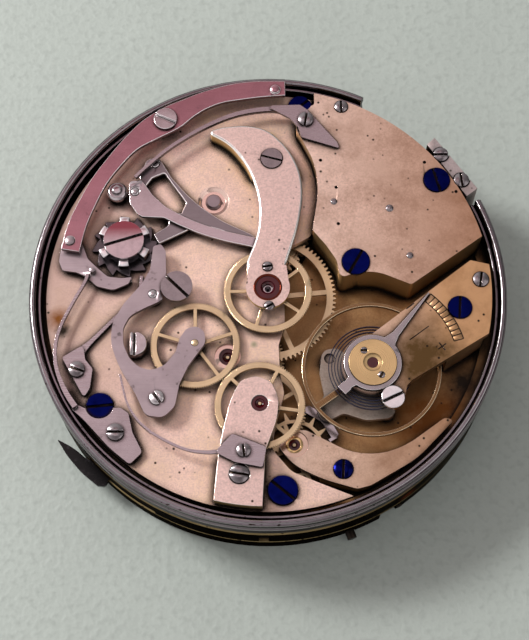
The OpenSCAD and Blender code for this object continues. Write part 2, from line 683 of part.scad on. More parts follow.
// The curved bridge over the chronograph wheel. Its foot stands on the chronograph plate.
module chrono_outline() {
    polygon(soft([[-5.7, 15.8, 0.3], [-4.1, 16.3, 1], [-1.9, 16.5, 12], [0.2, 16, 12], [2.2, 13.9, 16],
        [3.25, 11.4, 16], [3.4, 9, 16], [2.9, 6, 16], [1.7, 2.3, 1], [1.9, 0.6, 0.1], [0, 0, 0],
        [-1.9, 0.9, 0.1], [-1.9, 2.6, 1.5], [-0.85, 5.2, 16], [-0.6, 8.5, 20], [-1.6, 12, 20],
        [-3.5, 14.6, 12]]));
    circle(centre_setting_r + 0.7, $fn = 64);
}
module chronograph_bridge() color(nickel) difference() {
    union() {
        slab(chrono_bridge_top - chrono_bridge_t, chrono_bridge_top) chrono_outline();
        slab(works_top, chrono_bridge_top) intersection() {
            chrono_outline();
            translate(plan * [-6, 11.2]) square(plan * [10, 6]);
        }
    }
    disc([0, 0], centre_setting_r + 0.01, works_top, chrono_bridge_top + 1);
    disc(chrono_bridge_screw[0], shank, works_top - 1, chrono_bridge_top + 1, 32);
    sinks([chrono_bridge_screw], 0.25, chrono_bridge_top);
    shank_holes(chaton_screws, 0.2, works_top, chrono_bridge_top + 1);
    sinks(chaton_screws, 0.1, chrono_bridge_top);
}

module drive_outline() intersection() {
    circle(plate_r - 0.15, $fn = 180);
    polygon(soft([[-5.1, -21, 0], [-4.55, -15.6, 1], [-4.1, -13.2, 12], [-3.4, -10.3, 12], [-2.5, -8.7, 1],
        [-1.1, -8.35, 1], [0.2, -8.9, 1], [0.85, -10.4, 2], [0.7, -12.3, 12], [-0.4, -15.2, 2],
        [-0.75, -21, 0]]));
}
module drive_cock() color(nickel) difference() {
    union() {
        slab(drive_cock_top - drive_cock_t, drive_cock_top) drive_outline();
        slab(works_top, drive_cock_top) intersection() {
            drive_outline();
            translate(plan * [-6, -22]) square(plan * [7, 6.7]);
        }
    }
    disc(fourth_at, fourth_jewel_r + 0.01, works_top, drive_cock_top + 1);
    disc(drive_cock_screw[0], shank, works_top - 1, drive_cock_top + 1, 32);
    disc(coupling_spring_screw[0], 0.3, works_top + 0.5, drive_cock_top + 1, 32);
    sinks([drive_cock_screw], 0.25, drive_cock_top);
}

// The wedge that clamps the movement in its case, and the two pins that place it there.
module case_fixings() color(nickel) {
    difference() {
        slab(flange_top, bridge_top - 0.2)
            polygon(plan * [[15.2, 14.4], [15.95, 15.1], [19.7, 9.8], [18.65, 9]]);
        for (s = clamp_steel) disc(s[0], s[1] + sink_gap, bridge_top - 0.5, bridge_top + 1);
        for (s = clamp_steel) disc(s[0], 0.25, bridge_top - 2, bridge_top + 1, 24);
    }
    for (q = ring_pins) ring_pin(q, ring_pin_seat, q[2], 0);
}

// Screws
module blue_screws() color(blued) {
    for (s = works_blue) screw(s[0], s[1], works_top - 0.25, 0.55, s[2], shank - 0.03, 1.1, 0.3);
    for (s = bridge_blue) screw(s[0], s[1], bridge_top - 0.3, 0.42, s[2], shank - 0.03, 1.9, 0.3);
    screw(cock_blue[0], cock_blue[1], bridge_top - 0.3, 0.42, cock_blue[2], shank - 0.03, 1.9, 0.28);
    screw(escape_blue[0], escape_blue[1], escape_bridge_top - 0.25, 0.37, escape_blue[2], 0.27, 1, 0.25);
}
module plain_screw(s, z, h, l, sh = shank - 0.03) screw(s[0], s[1], z, h, s[2], sh, l);
module steel_screws() color(steel) {
    plain_screw(bridge_steel, bridge_top - 0.3, 0.4, 1.9);
    plain_screw(cock_steel, bridge_top - 0.3, 0.4, 1.9);
    for (s = clamp_steel) plain_screw(s, bridge_top - 0.5, 0.42, 1.3, 0.22);
    plain_screw(chrono_bridge_screw, chrono_bridge_top - 0.25, 0.38, chrono_bridge_top - works_z - 0.3);
    plain_screw(drive_cock_screw, drive_cock_top - 0.25, 0.38, drive_cock_top - works_z - 0.3);
    plain_screw(coupling_spring_screw, drive_cock_top + spring_foot_t, 0.3, 1, 0.27);
    plain_screw(hammer_spring_screw, bridge_top + spring_foot_t, 0.3, spring_foot_t + 1.5);
    for (s = [column_jumper_screw, pawl_spring_screw])
        plain_screw(s, works_top + thick_foot_t, 0.35, thick_foot_t + 0.65);
    for (s = chaton_screws) plain_screw(s, chrono_bridge_top - 0.1, 0.25, 0.3, 0.18);
    for (s = cap_screws) plain_screw(s, bridge_top + 0.15, 0.22, 0, 0.2);
    screw(retaining_at, 1.45, column_top + 0.05, 0.35, -45, stud_r - stud_gap, 2, 0.3);
    for (p = steady_pins) steel_pin(p);
}
module steel_pin(p) {
    disc(p, p[2], bridge_top - steady_pin_l, bridge_top + 0.03, 32);
    at(p, bridge_top + 0.02) cylinder(r1 = p[2], r2 = 0.6 * p[2], h = 0.12, $fn = 32);
}
module eccentric_stop() color(steel) difference() {
    union() {
        disc(stop_at - [0.2, 0], 1.1, works_top, column_top - 0.1);
        disc(stop_at, stud_r - stud_gap, works_z + 0.1, works_top + 0.01, 32);
    }
    at(stop_at) translate([-1.5, -2]) slab(works_top - 0.01, bridge_top + 1) square([0.9, 4]);
    at(stop_at) translate([-0.32, -2]) slab(column_top - 0.35, bridge_top + 1) square([0.24, 4]);
}
// Shouldered studs and screws that the levers turn on.
module shoulder(p, head_r, z, h, turn) {
    disc(p, stud_r - stud_gap, works_z + 0.1, z + 0.02, 32);
    difference() {
        disc(p, head_r, z, z + h);
        at(p, z + h - 0.15) rotate(turn) translate([-2, -0.11, 0]) cube([4, 0.22, 1]);
    }
}
module lever_screws() color(steel) {
    shoulder(operating_pivot, 1.1, operating_z + lever_t + 0.03, 0.3, -25);
    disc(coupling_pivot, stud_r - stud_gap, works_z + 0.1, coupling_z + lever_t + 0.06, 32);
    disc(hammer_pivot, stud_r - stud_gap, works_z + 0.1, hammer_z + hammer_t + 0.06, 32);
    disc(brake_pivot, stud_r - stud_gap, works_z + 0.1, low_lever_z + low_lever_t + 0.03, 32);
    for (p = [coupling_pivot, hammer_pivot, brake_pivot])
        disc(p, stud_r + 0.25, works_top, low_lever_z - 0.03, 32);
    disc(operating_pivot, stud_r + 0.4, works_top, operating_z - 0.03, 32);
}
module polished_post() color("#d8d4d2") {
    disc(post_at, stud_r - stud_gap, works_z + 0.1, works_top + 0.01, 32);
    at(post_at) rotate_extrude($fn = 48) polygon([[0, works_top], [0.75, works_top],
        [0.75, works_top + 0.9], [0.95, works_top + 1.05], [0.95, works_top + 1.4],
        [0.75, works_top + 1.6], [0.4, works_top + 1.6], [0.4, works_top + 1.9], [0, works_top + 1.9]]);
}
module column_wheel_screw() color(steel) {
    screw(column_at, 1.85, column_top + 0.03, 0.45, 17, column_bore - pivot_gap,
        column_top - works_top + 0.03, 0.3);
    disc(column_at, stud_r - stud_gap, works_z + 0.1, works_top + 0.01, 32);
}

// Jewels
module jewel(p, r, z, t) at(p, z) difference() {
    cylinder(r = r, h = t, $fn = 48);
    translate([0, 0, -1]) cylinder(r = pivot_r + pivot_gap, h = t + 2, $fn = 24);
    translate([0, 0, t]) scale([1, 1, 0.5]) sphere(r = 0.6 * r, $fn = 32);
}
module plate_jewels() color(ruby) {
    jewel([0, 0], centre_jewel_r, chrono_bridge_top - 0.35, 0.25);
    jewel(fourth_at, fourth_jewel_r, drive_cock_top - 0.45, 0.35);
    jewel(third_at, third_jewel_r, works_z + 0.05, 0.3);
    jewel(escape_at, escape_jewel_r, escape_bridge_top - 0.5, 0.25);
    jewel(balance_at, balance_jewel_r, cock_z + 0.3, 0.3);
    disc(balance_at, balance_jewel_r, bridge_top - 0.2, bridge_top + 0.15, 48);
}
module jewel_settings() color(brass) {
    difference() {
        disc([0, 0], centre_setting_r, chrono_bridge_top - chrono_bridge_t, chrono_bridge_top);
        disc([0, 0], centre_jewel_r + 0.01, chrono_bridge_top - 0.35, chrono_bridge_top + 1);
        disc([0, 0], 0.5, chrono_bridge_top - 1, chrono_bridge_top + 1);
    }
    difference() {
        disc(escape_at, escape_setting_r, escape_bridge_top - 0.55, escape_bridge_top - 0.2);
        disc(escape_at, escape_jewel_r + 0.01, escape_bridge_top - 1, escape_bridge_top + 1);
    }
}

// Going train
module barrel() color(brass) difference() {
    union() {
        disc(barrel_at, barrel_out, barrel_z, barrel_top, 120);
        at(barrel_at) slab(flange_top + 0.06, flange_top + 0.5)
            polygon(teeth(barrel_teeth, barrel_pr, barrel_m, mesh_turn(barrel_at, [0, 0], barrel_teeth)));
    }
    disc(barrel_at, barrel_in, barrel_z + 0.35, barrel_top - 0.3, 120);
    disc(barrel_at, barrel_pivot_r + pivot_gap, barrel_z - 1, barrel_top + 1, 32);
}
// The mainspring as a flat strip wound against the wall of the barrel.
main_turns = 7;
main_strip = 0.2;
main_pitch = 0.42;
function spiral(c, r0, pitch, turns, t, per = 24) = let (n = turns * per,
    p = [for (i = [0:n]) [r0 - pitch * i / per, 360 * i / per]])
    concat([for (q = p) plan * c + q[0] * [cos(q[1]), sin(q[1])]],
    rev([for (q = p) plan * c + (q[0] - t) * [cos(q[1]), sin(q[1])]]));
module mainspring() color(dark_steel) slab(barrel_z + 0.4, barrel_top - 0.4)
    polygon(spiral(barrel_at, barrel_in - 0.02, main_pitch, main_turns, main_strip, 30));

module barrel_arbor() color(steel) {
    disc(barrel_at, barrel_pivot_r, plate_z + 0.05, works_top - 0.1, 32);
    at(barrel_at, works_top - 0.11)
        cylinder(r1 = barrel_pivot_r, r2 = barrel_pivot_r - 0.15, h = 0.16, $fn = 48);
    disc(barrel_at, barrel_hub_r, barrel_z + 0.45, barrel_top - 0.45);
}
module ratchet_wheel() color(steel) difference() {
    at(barrel_at) slab(winding_z, winding_z + winding_t)
        polygon(teeth(ratchet_teeth, winding_m * ratchet_teeth / 2, winding_m,
        mesh_turn(barrel_at, winding_at, ratchet_teeth)));
    disc(barrel_at, barrel_pivot_r, winding_z - 1, winding_z + 1, 32);
}
module winding_wheel() color(steel) difference() {
    at(winding_at) slab(winding_z, winding_z + winding_t)
        polygon(teeth(winding_teeth, winding_m * winding_teeth / 2, winding_m,
        toward(winding_at, barrel_at)));
    disc(winding_at, wheel_post_r + pivot_gap, winding_z - 1, winding_z + 1);
}
// The crown wheel has a second, downward ring of teeth for the winding pinion.
module crown_wheel() color(steel) difference() {
    union() {
        at(crown_at) slab(winding_z, winding_z + winding_t) polygon(teeth(crown_teeth,
            crown_m * crown_teeth / 2, crown_m,
            toward(crown_at, winding_at) + 180 / crown_teeth * crown_phase));
        difference() {
            disc(crown_at, 2.75, crown_face_z, winding_z + 0.01, 64);
            disc(crown_at, 1.9, crown_face_z - 1, winding_z);
            for (i = [0:23]) at(crown_at, crown_face_z - 0.01) rotate(i * 15 + 7.5)
                translate([1.5, -0.12, 0]) cube([2, 0.24, 0.25]);
        }
    }
    disc(crown_at, wheel_post_r + pivot_gap, winding_z - 2, winding_z + 1);
}
// The tooth of the winding wheel nearest the crown wheel sets the crown wheel's turn.
winding_near = (toward(winding_at, crown_at) - toward(winding_at, barrel_at)) * winding_teeth / 360;
crown_phase = 1 + 2 * (winding_near - floor(winding_near));
module click() color(steel) difference() {
    slab(winding_z, winding_z + winding_t) polygon(soft([[-10.9, 12.9, 0.5], [-9.7, 13.2, 0.5],
        [-7.68, 12.5, 0.08], [-8, 12.1, 0.1], [-9.9, 11.6, 0.5], [-10.9, 11.9, 0.5]]));
    disc(click_pivot, click_post_r + pivot_gap, winding_z - 1, winding_z + 1, 32);
}

module pinion(p, n, m, z0, z1, turn) at(p) slab(z0, z1) polygon(teeth(n, m * n / 2, m, turn));
module centre_wheel() color(brass) difference() {
    union() {
        slab(centre_wheel_z, centre_wheel_z + wheel_t) crossed(teeth(centre_teeth, centre_pr, centre_m,
            mesh_turn([0, 0], third_at, centre_teeth)), centre_pr - 0.75, 1.1, 5, 0.45, 5, 0.3);
        pinion([0, 0], centre_leaves, barrel_m, flange_top - 0.3, centre_wheel_z + 0.01,
            toward([0, 0], barrel_at));
        disc([0, 0], centre_pipe_r, centre_pipe_z, works_top - 0.05, 32);
    }
    disc([0, 0], centre_pipe_bore, 0, works_top + 1, 32);
}
module third_wheel() color(brass) {
    at(third_at) slab(low_wheel_z, low_wheel_z + wheel_t) crossed(teeth(third_teeth, third_pr, third_m,
        mesh_turn(third_at, fourth_at, third_teeth)), third_pr - 0.7, 0.9, 5, 0.4, 20, 0.3);
    pinion(third_at, third_leaves, centre_m, low_wheel_z + 0.01, works_z - 0.1, toward(third_at, [0, 0]));
    disc(third_at, pivot_r, plate_top - pivot_deep + 0.02, works_z + 0.36, 24);
}
module fourth_wheel() color(brass) {
    at(fourth_at) slab(fourth_wheel_z, fourth_wheel_z + fourth_wheel_t)
        crossed(teeth(fourth_teeth, fourth_pr, fourth_m, mesh_turn(fourth_at, escape_at, fourth_teeth)),
        fourth_pr - 0.6, 0.8, 5, 0.35, 30, 0.3);
    pinion(fourth_at, fourth_leaves, third_m, plate_top + 0.1, fourth_wheel_z + 0.01,
        toward(fourth_at, third_at));
    disc(fourth_at, fourth_arbor_r, fourth_wheel_z, fine_z, 32);
    disc(fourth_at, pivot_r, plate_top - pivot_deep + 0.02, drive_cock_top - 0.15, 24);
}
// The driving wheel sits on the long upper end of the fourth arbor.
module driving_wheel() color(brass) difference() {
    at(fourth_at) slab(fine_z, fine_z + fine_t) crossed(fine(fine_teeth, fine_wheel_r, tooth_d,
        toward(fourth_at, coupling_at)), fine_wheel_r - 0.62, 0.7, 5, 0.3, 63, 0.1);
    disc(fourth_at, pivot_r, fine_z - 1, fine_z + 1, 24);
}
module escape_wheel() color(brass) {
    at(escape_at) slab(escape_z, escape_z + escape_t) difference() {
        polygon([for (i = [0:escape_teeth - 1]) let (a = escape_turn + i * 360 / escape_teeth)
            each [(escape_r - 0.75) * [cos(a - 2), sin(a - 2)], (escape_r - 0.05) * [cos(a + 3), sin(a + 3)],
            escape_r * [cos(a + 5), sin(a + 5)], (escape_r - 0.7) * [cos(a + 7), sin(a + 7)]]]);
        difference() {
            circle(escape_r - 1.05, $fn = 64);
            circle(0.7, $fn = 32);
            spokes(4, 0, escape_r - 1, 0.35, 20);
        }
    }
    pinion(escape_at, escape_leaves, fourth_m, escape_z + 0.2, escape_bridge_top - escape_bridge_t - 0.1,
        toward(escape_at, fourth_at));
    disc(escape_at, pivot_r, plate_top - pivot_deep + 0.02, escape_bridge_top - 0.3, 24);
}

// Lever with two arms for the pallet stones and a fork for the balance.
module pallet_fork() {
    color(steel) at(pallet_at) rotate(lever_line) slab(escape_z, escape_z + escape_t) difference() {
        union() {
            polygon([[-0.5, -0.35], [fork_len - 0.9, -0.16], [fork_len - 0.5, -0.45], [fork_len, -0.42],
                [fork_len, 0.42], [fork_len - 0.5, 0.45], [fork_len - 0.9, 0.16], [-0.5, 0.35]]);
            for (s = [-1, 1]) polygon([[0.35, 0], [-0.2, s * 1.9], [-0.65, s * 2.05],
                [-0.9, s * 1.75], [-0.45, 0]]);
            circle(0.5, $fn = 32);
        }
        translate([fork_len - 0.45, -0.17]) square([1, 0.34]);
    }
    color(steel) disc(pallet_at, pivot_r, plate_top - pivot_deep + 0.02, pallet_bridge_top - 0.03, 24);
    color(ruby) at(pallet_at) rotate(lever_line) for (s = [-1, 1])
        slab(escape_z - 0.04, escape_z + 0.26) translate([-0.66, s * 1.86]) rotate(s * 12)
        translate([-0.58, -0.14]) square([0.58, 0.28]);
}

// Balance
module balance_wheel() color("#c4b6a0") {
    at(balance_at) slab(balance_z, balance_top) difference() {
        circle(balance_r, $fn = 144);
        circle(balance_r - balance_rim_w, $fn = 144);
    }
    at(balance_at) slab(balance_top - 0.3, balance_top) difference() {
        union() {
            circle(0.9, $fn = 48);
            spokes(2, 0, balance_r - balance_rim_w + 0.05, 0.6, 35);
        }
        circle(staff_r, $fn = 32);
    }
}
module balance_staff() color(steel) {
    disc(balance_at, staff_r, escape_z + 0.45, balance_top + 0.1, 32);
    disc(balance_at, pivot_r, staff_z, cock_z + 0.5, 24);
    disc(balance_at, staff_r + 0.2, balance_top + 0.05, spring_z + spring_h, 32);
    disc(balance_at, 1.15, escape_z + 0.5, escape_z + 0.75, 48);
    at(balance_at) rotate(lever_line + 180) translate([0.95, 0]) slab(escape_z + 0.02, escape_z + 0.51)
        circle(0.11, $fn = 24);
}
spring_in = 0.75;
spring_pitch = (spring_r - spring_in) / spring_turns;
spring_points = [for (i = [0:30 * spring_turns])
    (spring_in + spring_pitch * i / 30) * [cos(12 * i), sin(12 * i)]];
// Least gap between one turn and the next, measured on the points of the strip.
spring_gap = min([for (i = [0:30 * (spring_turns - 1)])
    norm(spring_points[i + 30] - spring_points[i])]) - spring_t;
echo(hairspring_gap = spring_gap);
module hairspring() color("#8f8a90") {
    slab(spring_z, spring_z + spring_h) at(balance_at) rotate(toward(balance_at, stud_at))
        polygon(concat([for (p = spring_points) p * (1 + spring_t / 2 / norm(p))],
        rev([for (p = spring_points) p * (1 - spring_t / 2 / norm(p))])));
}
module hairspring_stud() color(steel) {
    at(balance_at) rotate(toward(balance_at, stud_at)) translate([spring_r + 0.27, 0, 0]) {
        slab(spring_z - 0.05, cock_z) translate([-0.2, -0.25]) square([0.4, 0.5]);
    }
    screw(stud_at, stud_head_r, bridge_top, 0.4, 25, stud_hole_r - 0.05, cock_t - 0.05);
}
module regulator() color(steel) difference() {
    slab(bridge_top + 0.03, bridge_top + 0.25) at(balance_at) {
        circle(regulator_r, $fn = 72);
        rotate(51) polygon([[2.2, -0.7], [3.4, -0.32], [pointer_l, -0.05], [pointer_l, 0.05],
            [3.4, 0.32], [2.2, 0.7]]);
        rotate(222) polygon([[2.2, -0.6], [3.3, -0.35], [3.3, 0.35], [2.2, 0.6]]);
        rotate(222) translate([3.1, -0.5]) square([0.75, 1]);
    }
    disc(balance_at, cap_r + pivot_gap, bridge_top - 1, bridge_top + 1, 64);
}

// Chronograph works
module chronograph_wheel() color(brass) difference() {
    union() {
        slab(fine_z, fine_z + fine_t) crossed(fine(fine_teeth, fine_wheel_r, tooth_d, 0),
            fine_wheel_r - 0.68, 0.75, 5, 0.3, 36, 0.1);
        disc([0, 0], 0.55, works_top + 0.15, fine_z + 0.01, 32);
    }
    disc([0, 0], sweep_arbor_r, 0, works_top + 2, 32);
}
module chronograph_arbor() color(steel) {
    disc([0, 0], sweep_arbor_r, sweep_arbor_z, heart_z + 0.1, 32);
    disc([0, 0], pivot_r, heart_z, chrono_bridge_top - 0.15, 24);
}
function heart_r(a) = 0.62 + 0.85 * abs(((a + 540) % 360) - 180) / 180;
module heart_cam() color(steel) slab(heart_z, heart_z + heart_t) difference() {
    rotate(80) polygon([for (i = [0:59]) heart_r(i * 6) * [cos(i * 6), sin(i * 6)]]);
    circle(sweep_arbor_r, $fn = 32);
}
module coupling_lever() color(steel) {
    slab(coupling_z, coupling_z + lever_t) difference() {
        polygon(soft([[-10.5, 4.3, 0.3], [-9.8, 4.5, 0.3], [-9.35, 3.8, 0.4], [-9.3, 1.5, 1],
            [-9.75, -0.1, 0.4], [-9.55, -0.9, 0.3], [-10.1, -1.25, 0.4], [-11.2, -1.75, 1.5],
            [-12.55, -2.5, 1.5], [-13.15, -3.7, 1.5], [-13.1, -5.2, 2], [-12.5, -6.6, 2],
            [-11.6, -7.4, 1.5], [-10.5, -7.75, 1.5], [-9.3, -7.2, 1.2], [-8.35, -6, 1],
            [-8, -4.7, 1], [-7.4, -3.8, 0.8], [-6.5, -3.55, 0.8], [-5.75, -4.1, 0.8],
            [-5.7, -5.2, 0.8], [-7.2, -7.3, 2], [-8, -9, 1.5], [-8.4, -11.1, 1.2], [-9.4, -12.1, 1],
            [-11, -11.9, 0.9], [-11.9, -9.9, 2], [-13.5, -7.2, 12], [-14.25, -5, 12], [-14.1, -3.1, 2.5],
            [-13.1, -1.3, 2], [-11.5, 0.6, 1.2], [-10.75, 2, 1]]));
        spot(coupling_pivot, stud_r + pivot_gap, 32);
        spot(coupling_at, coupling_pin_r + pivot_gap, 32);
        spot(lower_bridge_screw[0], 0.3, 32);
    }
    // Lower arm that carries the coupling wheel's other pivot.
    slab(works_top + 0.12, works_top + 0.42) difference() {
        strip([[-10, -10.3, 1.6], [-9.2, -7.6, 1.1], [-6.64, -5.16, 1.2], [-6.3, -4.8, 0.9]]);
        spot(coupling_at, pivot_r + pivot_gap, 24);
    }
    slab(works_top + 0.41, coupling_z + 0.01) difference() {
        spot([-10, -10.6], 0.78, 32);
        spot(lower_bridge_screw[0], 0.3, 32);
    }
}
module coupling_lever_screw() color(steel)
    plain_screw(lower_bridge_screw, coupling_z + lever_t, 0.25, 0.9, 0.27);
module coupling_wheel() color(brass) {
    at(coupling_at) slab(fine_z, fine_z + fine_t) crossed(fine(fine_teeth, fine_wheel_r, tooth_d,
        mesh_turn(coupling_at, fourth_at, fine_teeth)), fine_wheel_r - 0.62, 0.7, 5, 0.3, 18, 0.1);
    disc(coupling_at, coupling_pin_r, fine_z - 0.15, coupling_z + lever_t + 0.04, 32);
    disc(coupling_at, pivot_r, works_top + 0.14, fine_z, 24);
}
module coupling_spring() color(steel) {
    slab(drive_cock_top, drive_cock_top + spring_foot_t) difference() {
        polygon(soft([[-3.3, -13.75, 0.2], [-0.3, -15, 0.2], [-0.65, -16.8, 0.2], [-3.1, -16.3, 0.4],
            [-4.7, -15.45, 0.8], [-4.6, -15.1, 0.5]]));
        spot(coupling_spring_screw[0], 0.3, 32);
    }
    slab(drive_cock_top - 0.12, drive_cock_top + 0.18) strip([[-4.5, -15.3, 0.35], [-5.7, -15.35, 0.3],
        [-7.3, -15.1, 0.24], [-8.9, -14.4, 0.22], [-10.6, -13.4, 0.2]]);
    slab(coupling_z, drive_cock_top + 0.18) strip([[-10.5, -13.45, 0.2], [-11.7, -12.3, 0.2],
        [-12.6, -10.8, 0.18], [-13.05, -9.2, 0.18], [-13.3, -8.1, 0.2]]);
}

module column_wheel() color(steel) difference() {
    union() {
        at(column_at) slab(ratchet_z, ratchet_z + ratchet_t) polygon([for (i = [0:2 * columns - 1])
            let (s = 180 / columns, a = i * s + 9) each [3.1 * [cos(a), sin(a)],
            2.45 * [cos(a + 3), sin(a + 3)], 2.7 * [cos(a + s * 0.5), sin(a + s * 0.5)]]]);
        disc(column_at, 1.7, ratchet_z, column_top - 0.25);
        for (i = [0:columns - 1]) at(column_at) slab(ratchet_z, column_top)
            rotate((i + 0.5) * 360 / columns)
            polygon(concat(arc([0, 0], 1.6, -12, 12, 4), arc([0, 0], 2.45, 11, -11, 6)));
    }
    disc(column_at, column_bore, works_top, column_top + 1);
}
module column_jumper() color(steel) {
    slab(works_top, works_top + thick_foot_t) difference() {
        polygon(soft([[-18.7, -6.1, 0.2], [-16.8, -4.9, 0.3], [-16.6, -6.3, 0.3], [-15.9, -7.2, 0.3],
            [-16.1, -9, 0.6], [-16.6, -9.9, 0.2]]));
        spot(column_jumper_screw[0], shank, 32);
    }
    slab(works_top + 0.1, works_top + 0.38) strip([[-17, -5.4, 0.8], [-16.2, -4.6, 0.4], [-14.4, -2.7, 0.3],
        [-12.7, -0.9, 0.25], [-11.8, 0.4, 0.26], [-11.65, 1.82, 0.3]]);
}
module operating_lever() color("#b98d92") difference() {
    union() {
        slab(operating_z, operating_z + lever_t) strip([[1.9, 20.4, 1.5], [-0.4, 20.35, 1.7],
            [-2.4, 20.15, 1.8], [-4.2, 19.8, 1.7], [-5.9, 19.2, 1.8], [-7.4, 18.4, 2.1], [-8.9, 17.45, 2.6],
            [-10.9, 16.25, 2.4], [-12.8, 14.7, 1.7], [-14.5, 12.6, 1.5], [-15.7, 10.8, 1.5],
            [-16.7, 8.7, 1.6], [-17.5, 6.7, 1.7], [-18, 4.7, 1.75], [-18.15, 3.95, 1.75]]);
        // The riveted stud that the pusher meets.
        disc([0.95, 20.25], 0.45, operating_z + lever_t - 0.01, operating_z + lever_t + 0.2, 32);
    }
    disc(operating_pivot, stud_r + pivot_gap, operating_z - 1, operating_z + 1, 32);
    disc(pawl_pivot, pawl_pin_r + pivot_gap, operating_z - 1, operating_z + 1, 32);
}
module pawl() color(steel) {
    slab(pawl_z, pawl_z + pawl_t)
        polygon(soft([[-18.9, 5.8, 0.7], [-19.25, 3.2, 0.6], [-18.9, 2.3, 0.3], [-17.6, 2.1, 0.8],
            [-16.6, 1.6, 0.5], [-15.7, 0.7, 0.7], [-14.2, 0.3, 1], [-12.8, 0.9, 0.4], [-12.5, 1.55, 0.05],
            [-13.4, 1.45, 0.6], [-14.7, 1.6, 0.8], [-15.6, 2.4, 0.5], [-16.6, 3.4, 0.8], [-17.4, 5.6, 0.6]]));
    disc(pawl_pivot, pawl_pin_r, pawl_z, operating_z + lever_t + 0.12, 32);
    disc([-16.1, 2.1], 0.25, pawl_z, works_top + 1.4, 24);
    slab(ratchet_z + 0.05, pawl_z + 0.01) at([-12.75, 1.2]) square(0.22);
}
module pawl_spring() color(steel) {
    slab(works_top, works_top + thick_foot_t) difference() {
        polygon(soft([[-17.9, -10.75, 0.2], [-17.1, -10.6, 0.2], [-16.5, -10.9, 0.2],
            [-15.2, -10.9, 0.5], [-13.3, -10.9, 0.6], [-12.6, -11.4, 0.3],
            [-12.2, -13.2, 1], [-11.3, -15, 0.4], [-12.4, -16.1, 0.3],
            [-14.2, -14.6, 12], [-16.6, -11.9, 12]]));
        spot(pawl_spring_screw[0], shank, 32);
        spot(works_blue[2][0], works_blue[2][1] + sink_gap);
    }
    slab(works_top + 0.1, pawl_blade_z + 0.4)
        strip([[-17.3, -10.9, 0.5], [-17.9, -10, 0.46], [-18.4, -9.1, 0.42]]);
    slab(pawl_blade_z, pawl_blade_z + 0.4) strip([[-17.9, -10, 0.46], [-18.4, -9.1, 0.4], [-19.1, -7.2, 0.32],
        [-19.25, -5.2, 0.28], [-18.8, -3.2, 0.26], [-17.8, -1, 0.26], [-16.8, 0.9, 0.26],
        [-16.5, 1.78, 0.28]]);
}
module hammer() color("#c9c1c6") slab(hammer_z, hammer_z + hammer_t) difference() {
    polygon(soft([[-12.9, 11, 0.4], [-11.7, 11.1, 0.4], [-10.6, 9.5, 1.5], [-9.5, 8.4, 2], [-7.9, 7.4, 16],
        [-6, 6.5, 16], [-3.9, 5.8, 16], [-0.9, 5.05, 1], [1.1, 3.9, 1], [1.35, 2.2, 0.1], [0.6, 2.05, 0.1],
        [0.1, 3.3, 1], [-1.4, 4.2, 1], [-3.7, 4.75, 16], [-6, 5.45, 16], [-8.2, 6.5, 12], [-9.6, 7.25, 1],
        [-10.7, 7.3, 0.5], [-11.6, 7.35, 0.1], [-12.1, 7.7, 0.3], [-12.8, 8.8, 1]]));
    spot(hammer_pivot, stud_r + pivot_gap, 32);
}
module hammer_spring() color(steel) {
    slab(bridge_top, bridge_top + spring_foot_t) difference() {
        polygon(soft([[0, 18.45, 0.2], [3.3, 18.5, 0.4], [4, 17.9, 0.4], [6.7, 14.5, 0.6], [6.9, 13.9, 0.1],
            [3.35, 15.1, 0.3], [3.1, 16.1, 0.6], [2.3, 17.1, 0.8], [1.2, 17.75, 0.8]]));
        spot(hammer_spring_screw[0], shank, 32);
    }
    slab(bridge_top - 0.42, bridge_top + 0.05) strip([[2.2, 17.95, 0.5], [0.3, 18.25, 0.45],
        [-2.8, 17.75, 0.4], [-5.9, 16.4, 0.34], [-9, 14.4, 0.3], [-11.3, 12.35, 0.28], [-12.3, 11.32, 0.28]]);
}
module brake_lever() color("#9a9298") slab(low_lever_z, low_lever_z + low_lever_t) difference() {
    polygon(soft([[-11.3, 13.4, 0.5], [-10.2, 13.8, 0.5], [-8.9, 11.5, 1.5], [-7.5, 9.8, 12], [-6.1, 8.45, 12],
        [-4.2, 7.05, 12], [-1.5, 5.7, 1], [-0.6, 5, 0.2], [-0.9, 4.3, 0.1], [-2.4, 5.2, 1], [-4.9, 6.35, 12],
        [-6.8, 6.5, 1], [-7.6, 6, 0.5], [-10.05, 4.8, 0.1], [-10.55, 5.75, 0.1], [-9.1, 6.7, 0.5],
        [-9.3, 7.4, 1], [-10.5, 8.6, 2], [-11.55, 10, 1], [-12, 11.7, 1]]));
    spot(brake_pivot, stud_r + pivot_gap, 32);
    polygon(soft([[-11.3, 10.7, 0.2], [-10.75, 11.5, 0.3], [-9.6, 12, 0.2], [-8.9, 10.9, 2], [-8, 9.6, 2],
        [-7.55, 8.9, 0.2], [-8, 7.8, 0.2], [-9.05, 8.1, 0.5], [-10, 8.95, 1], [-10.95, 10.1, 0.5]]));
}

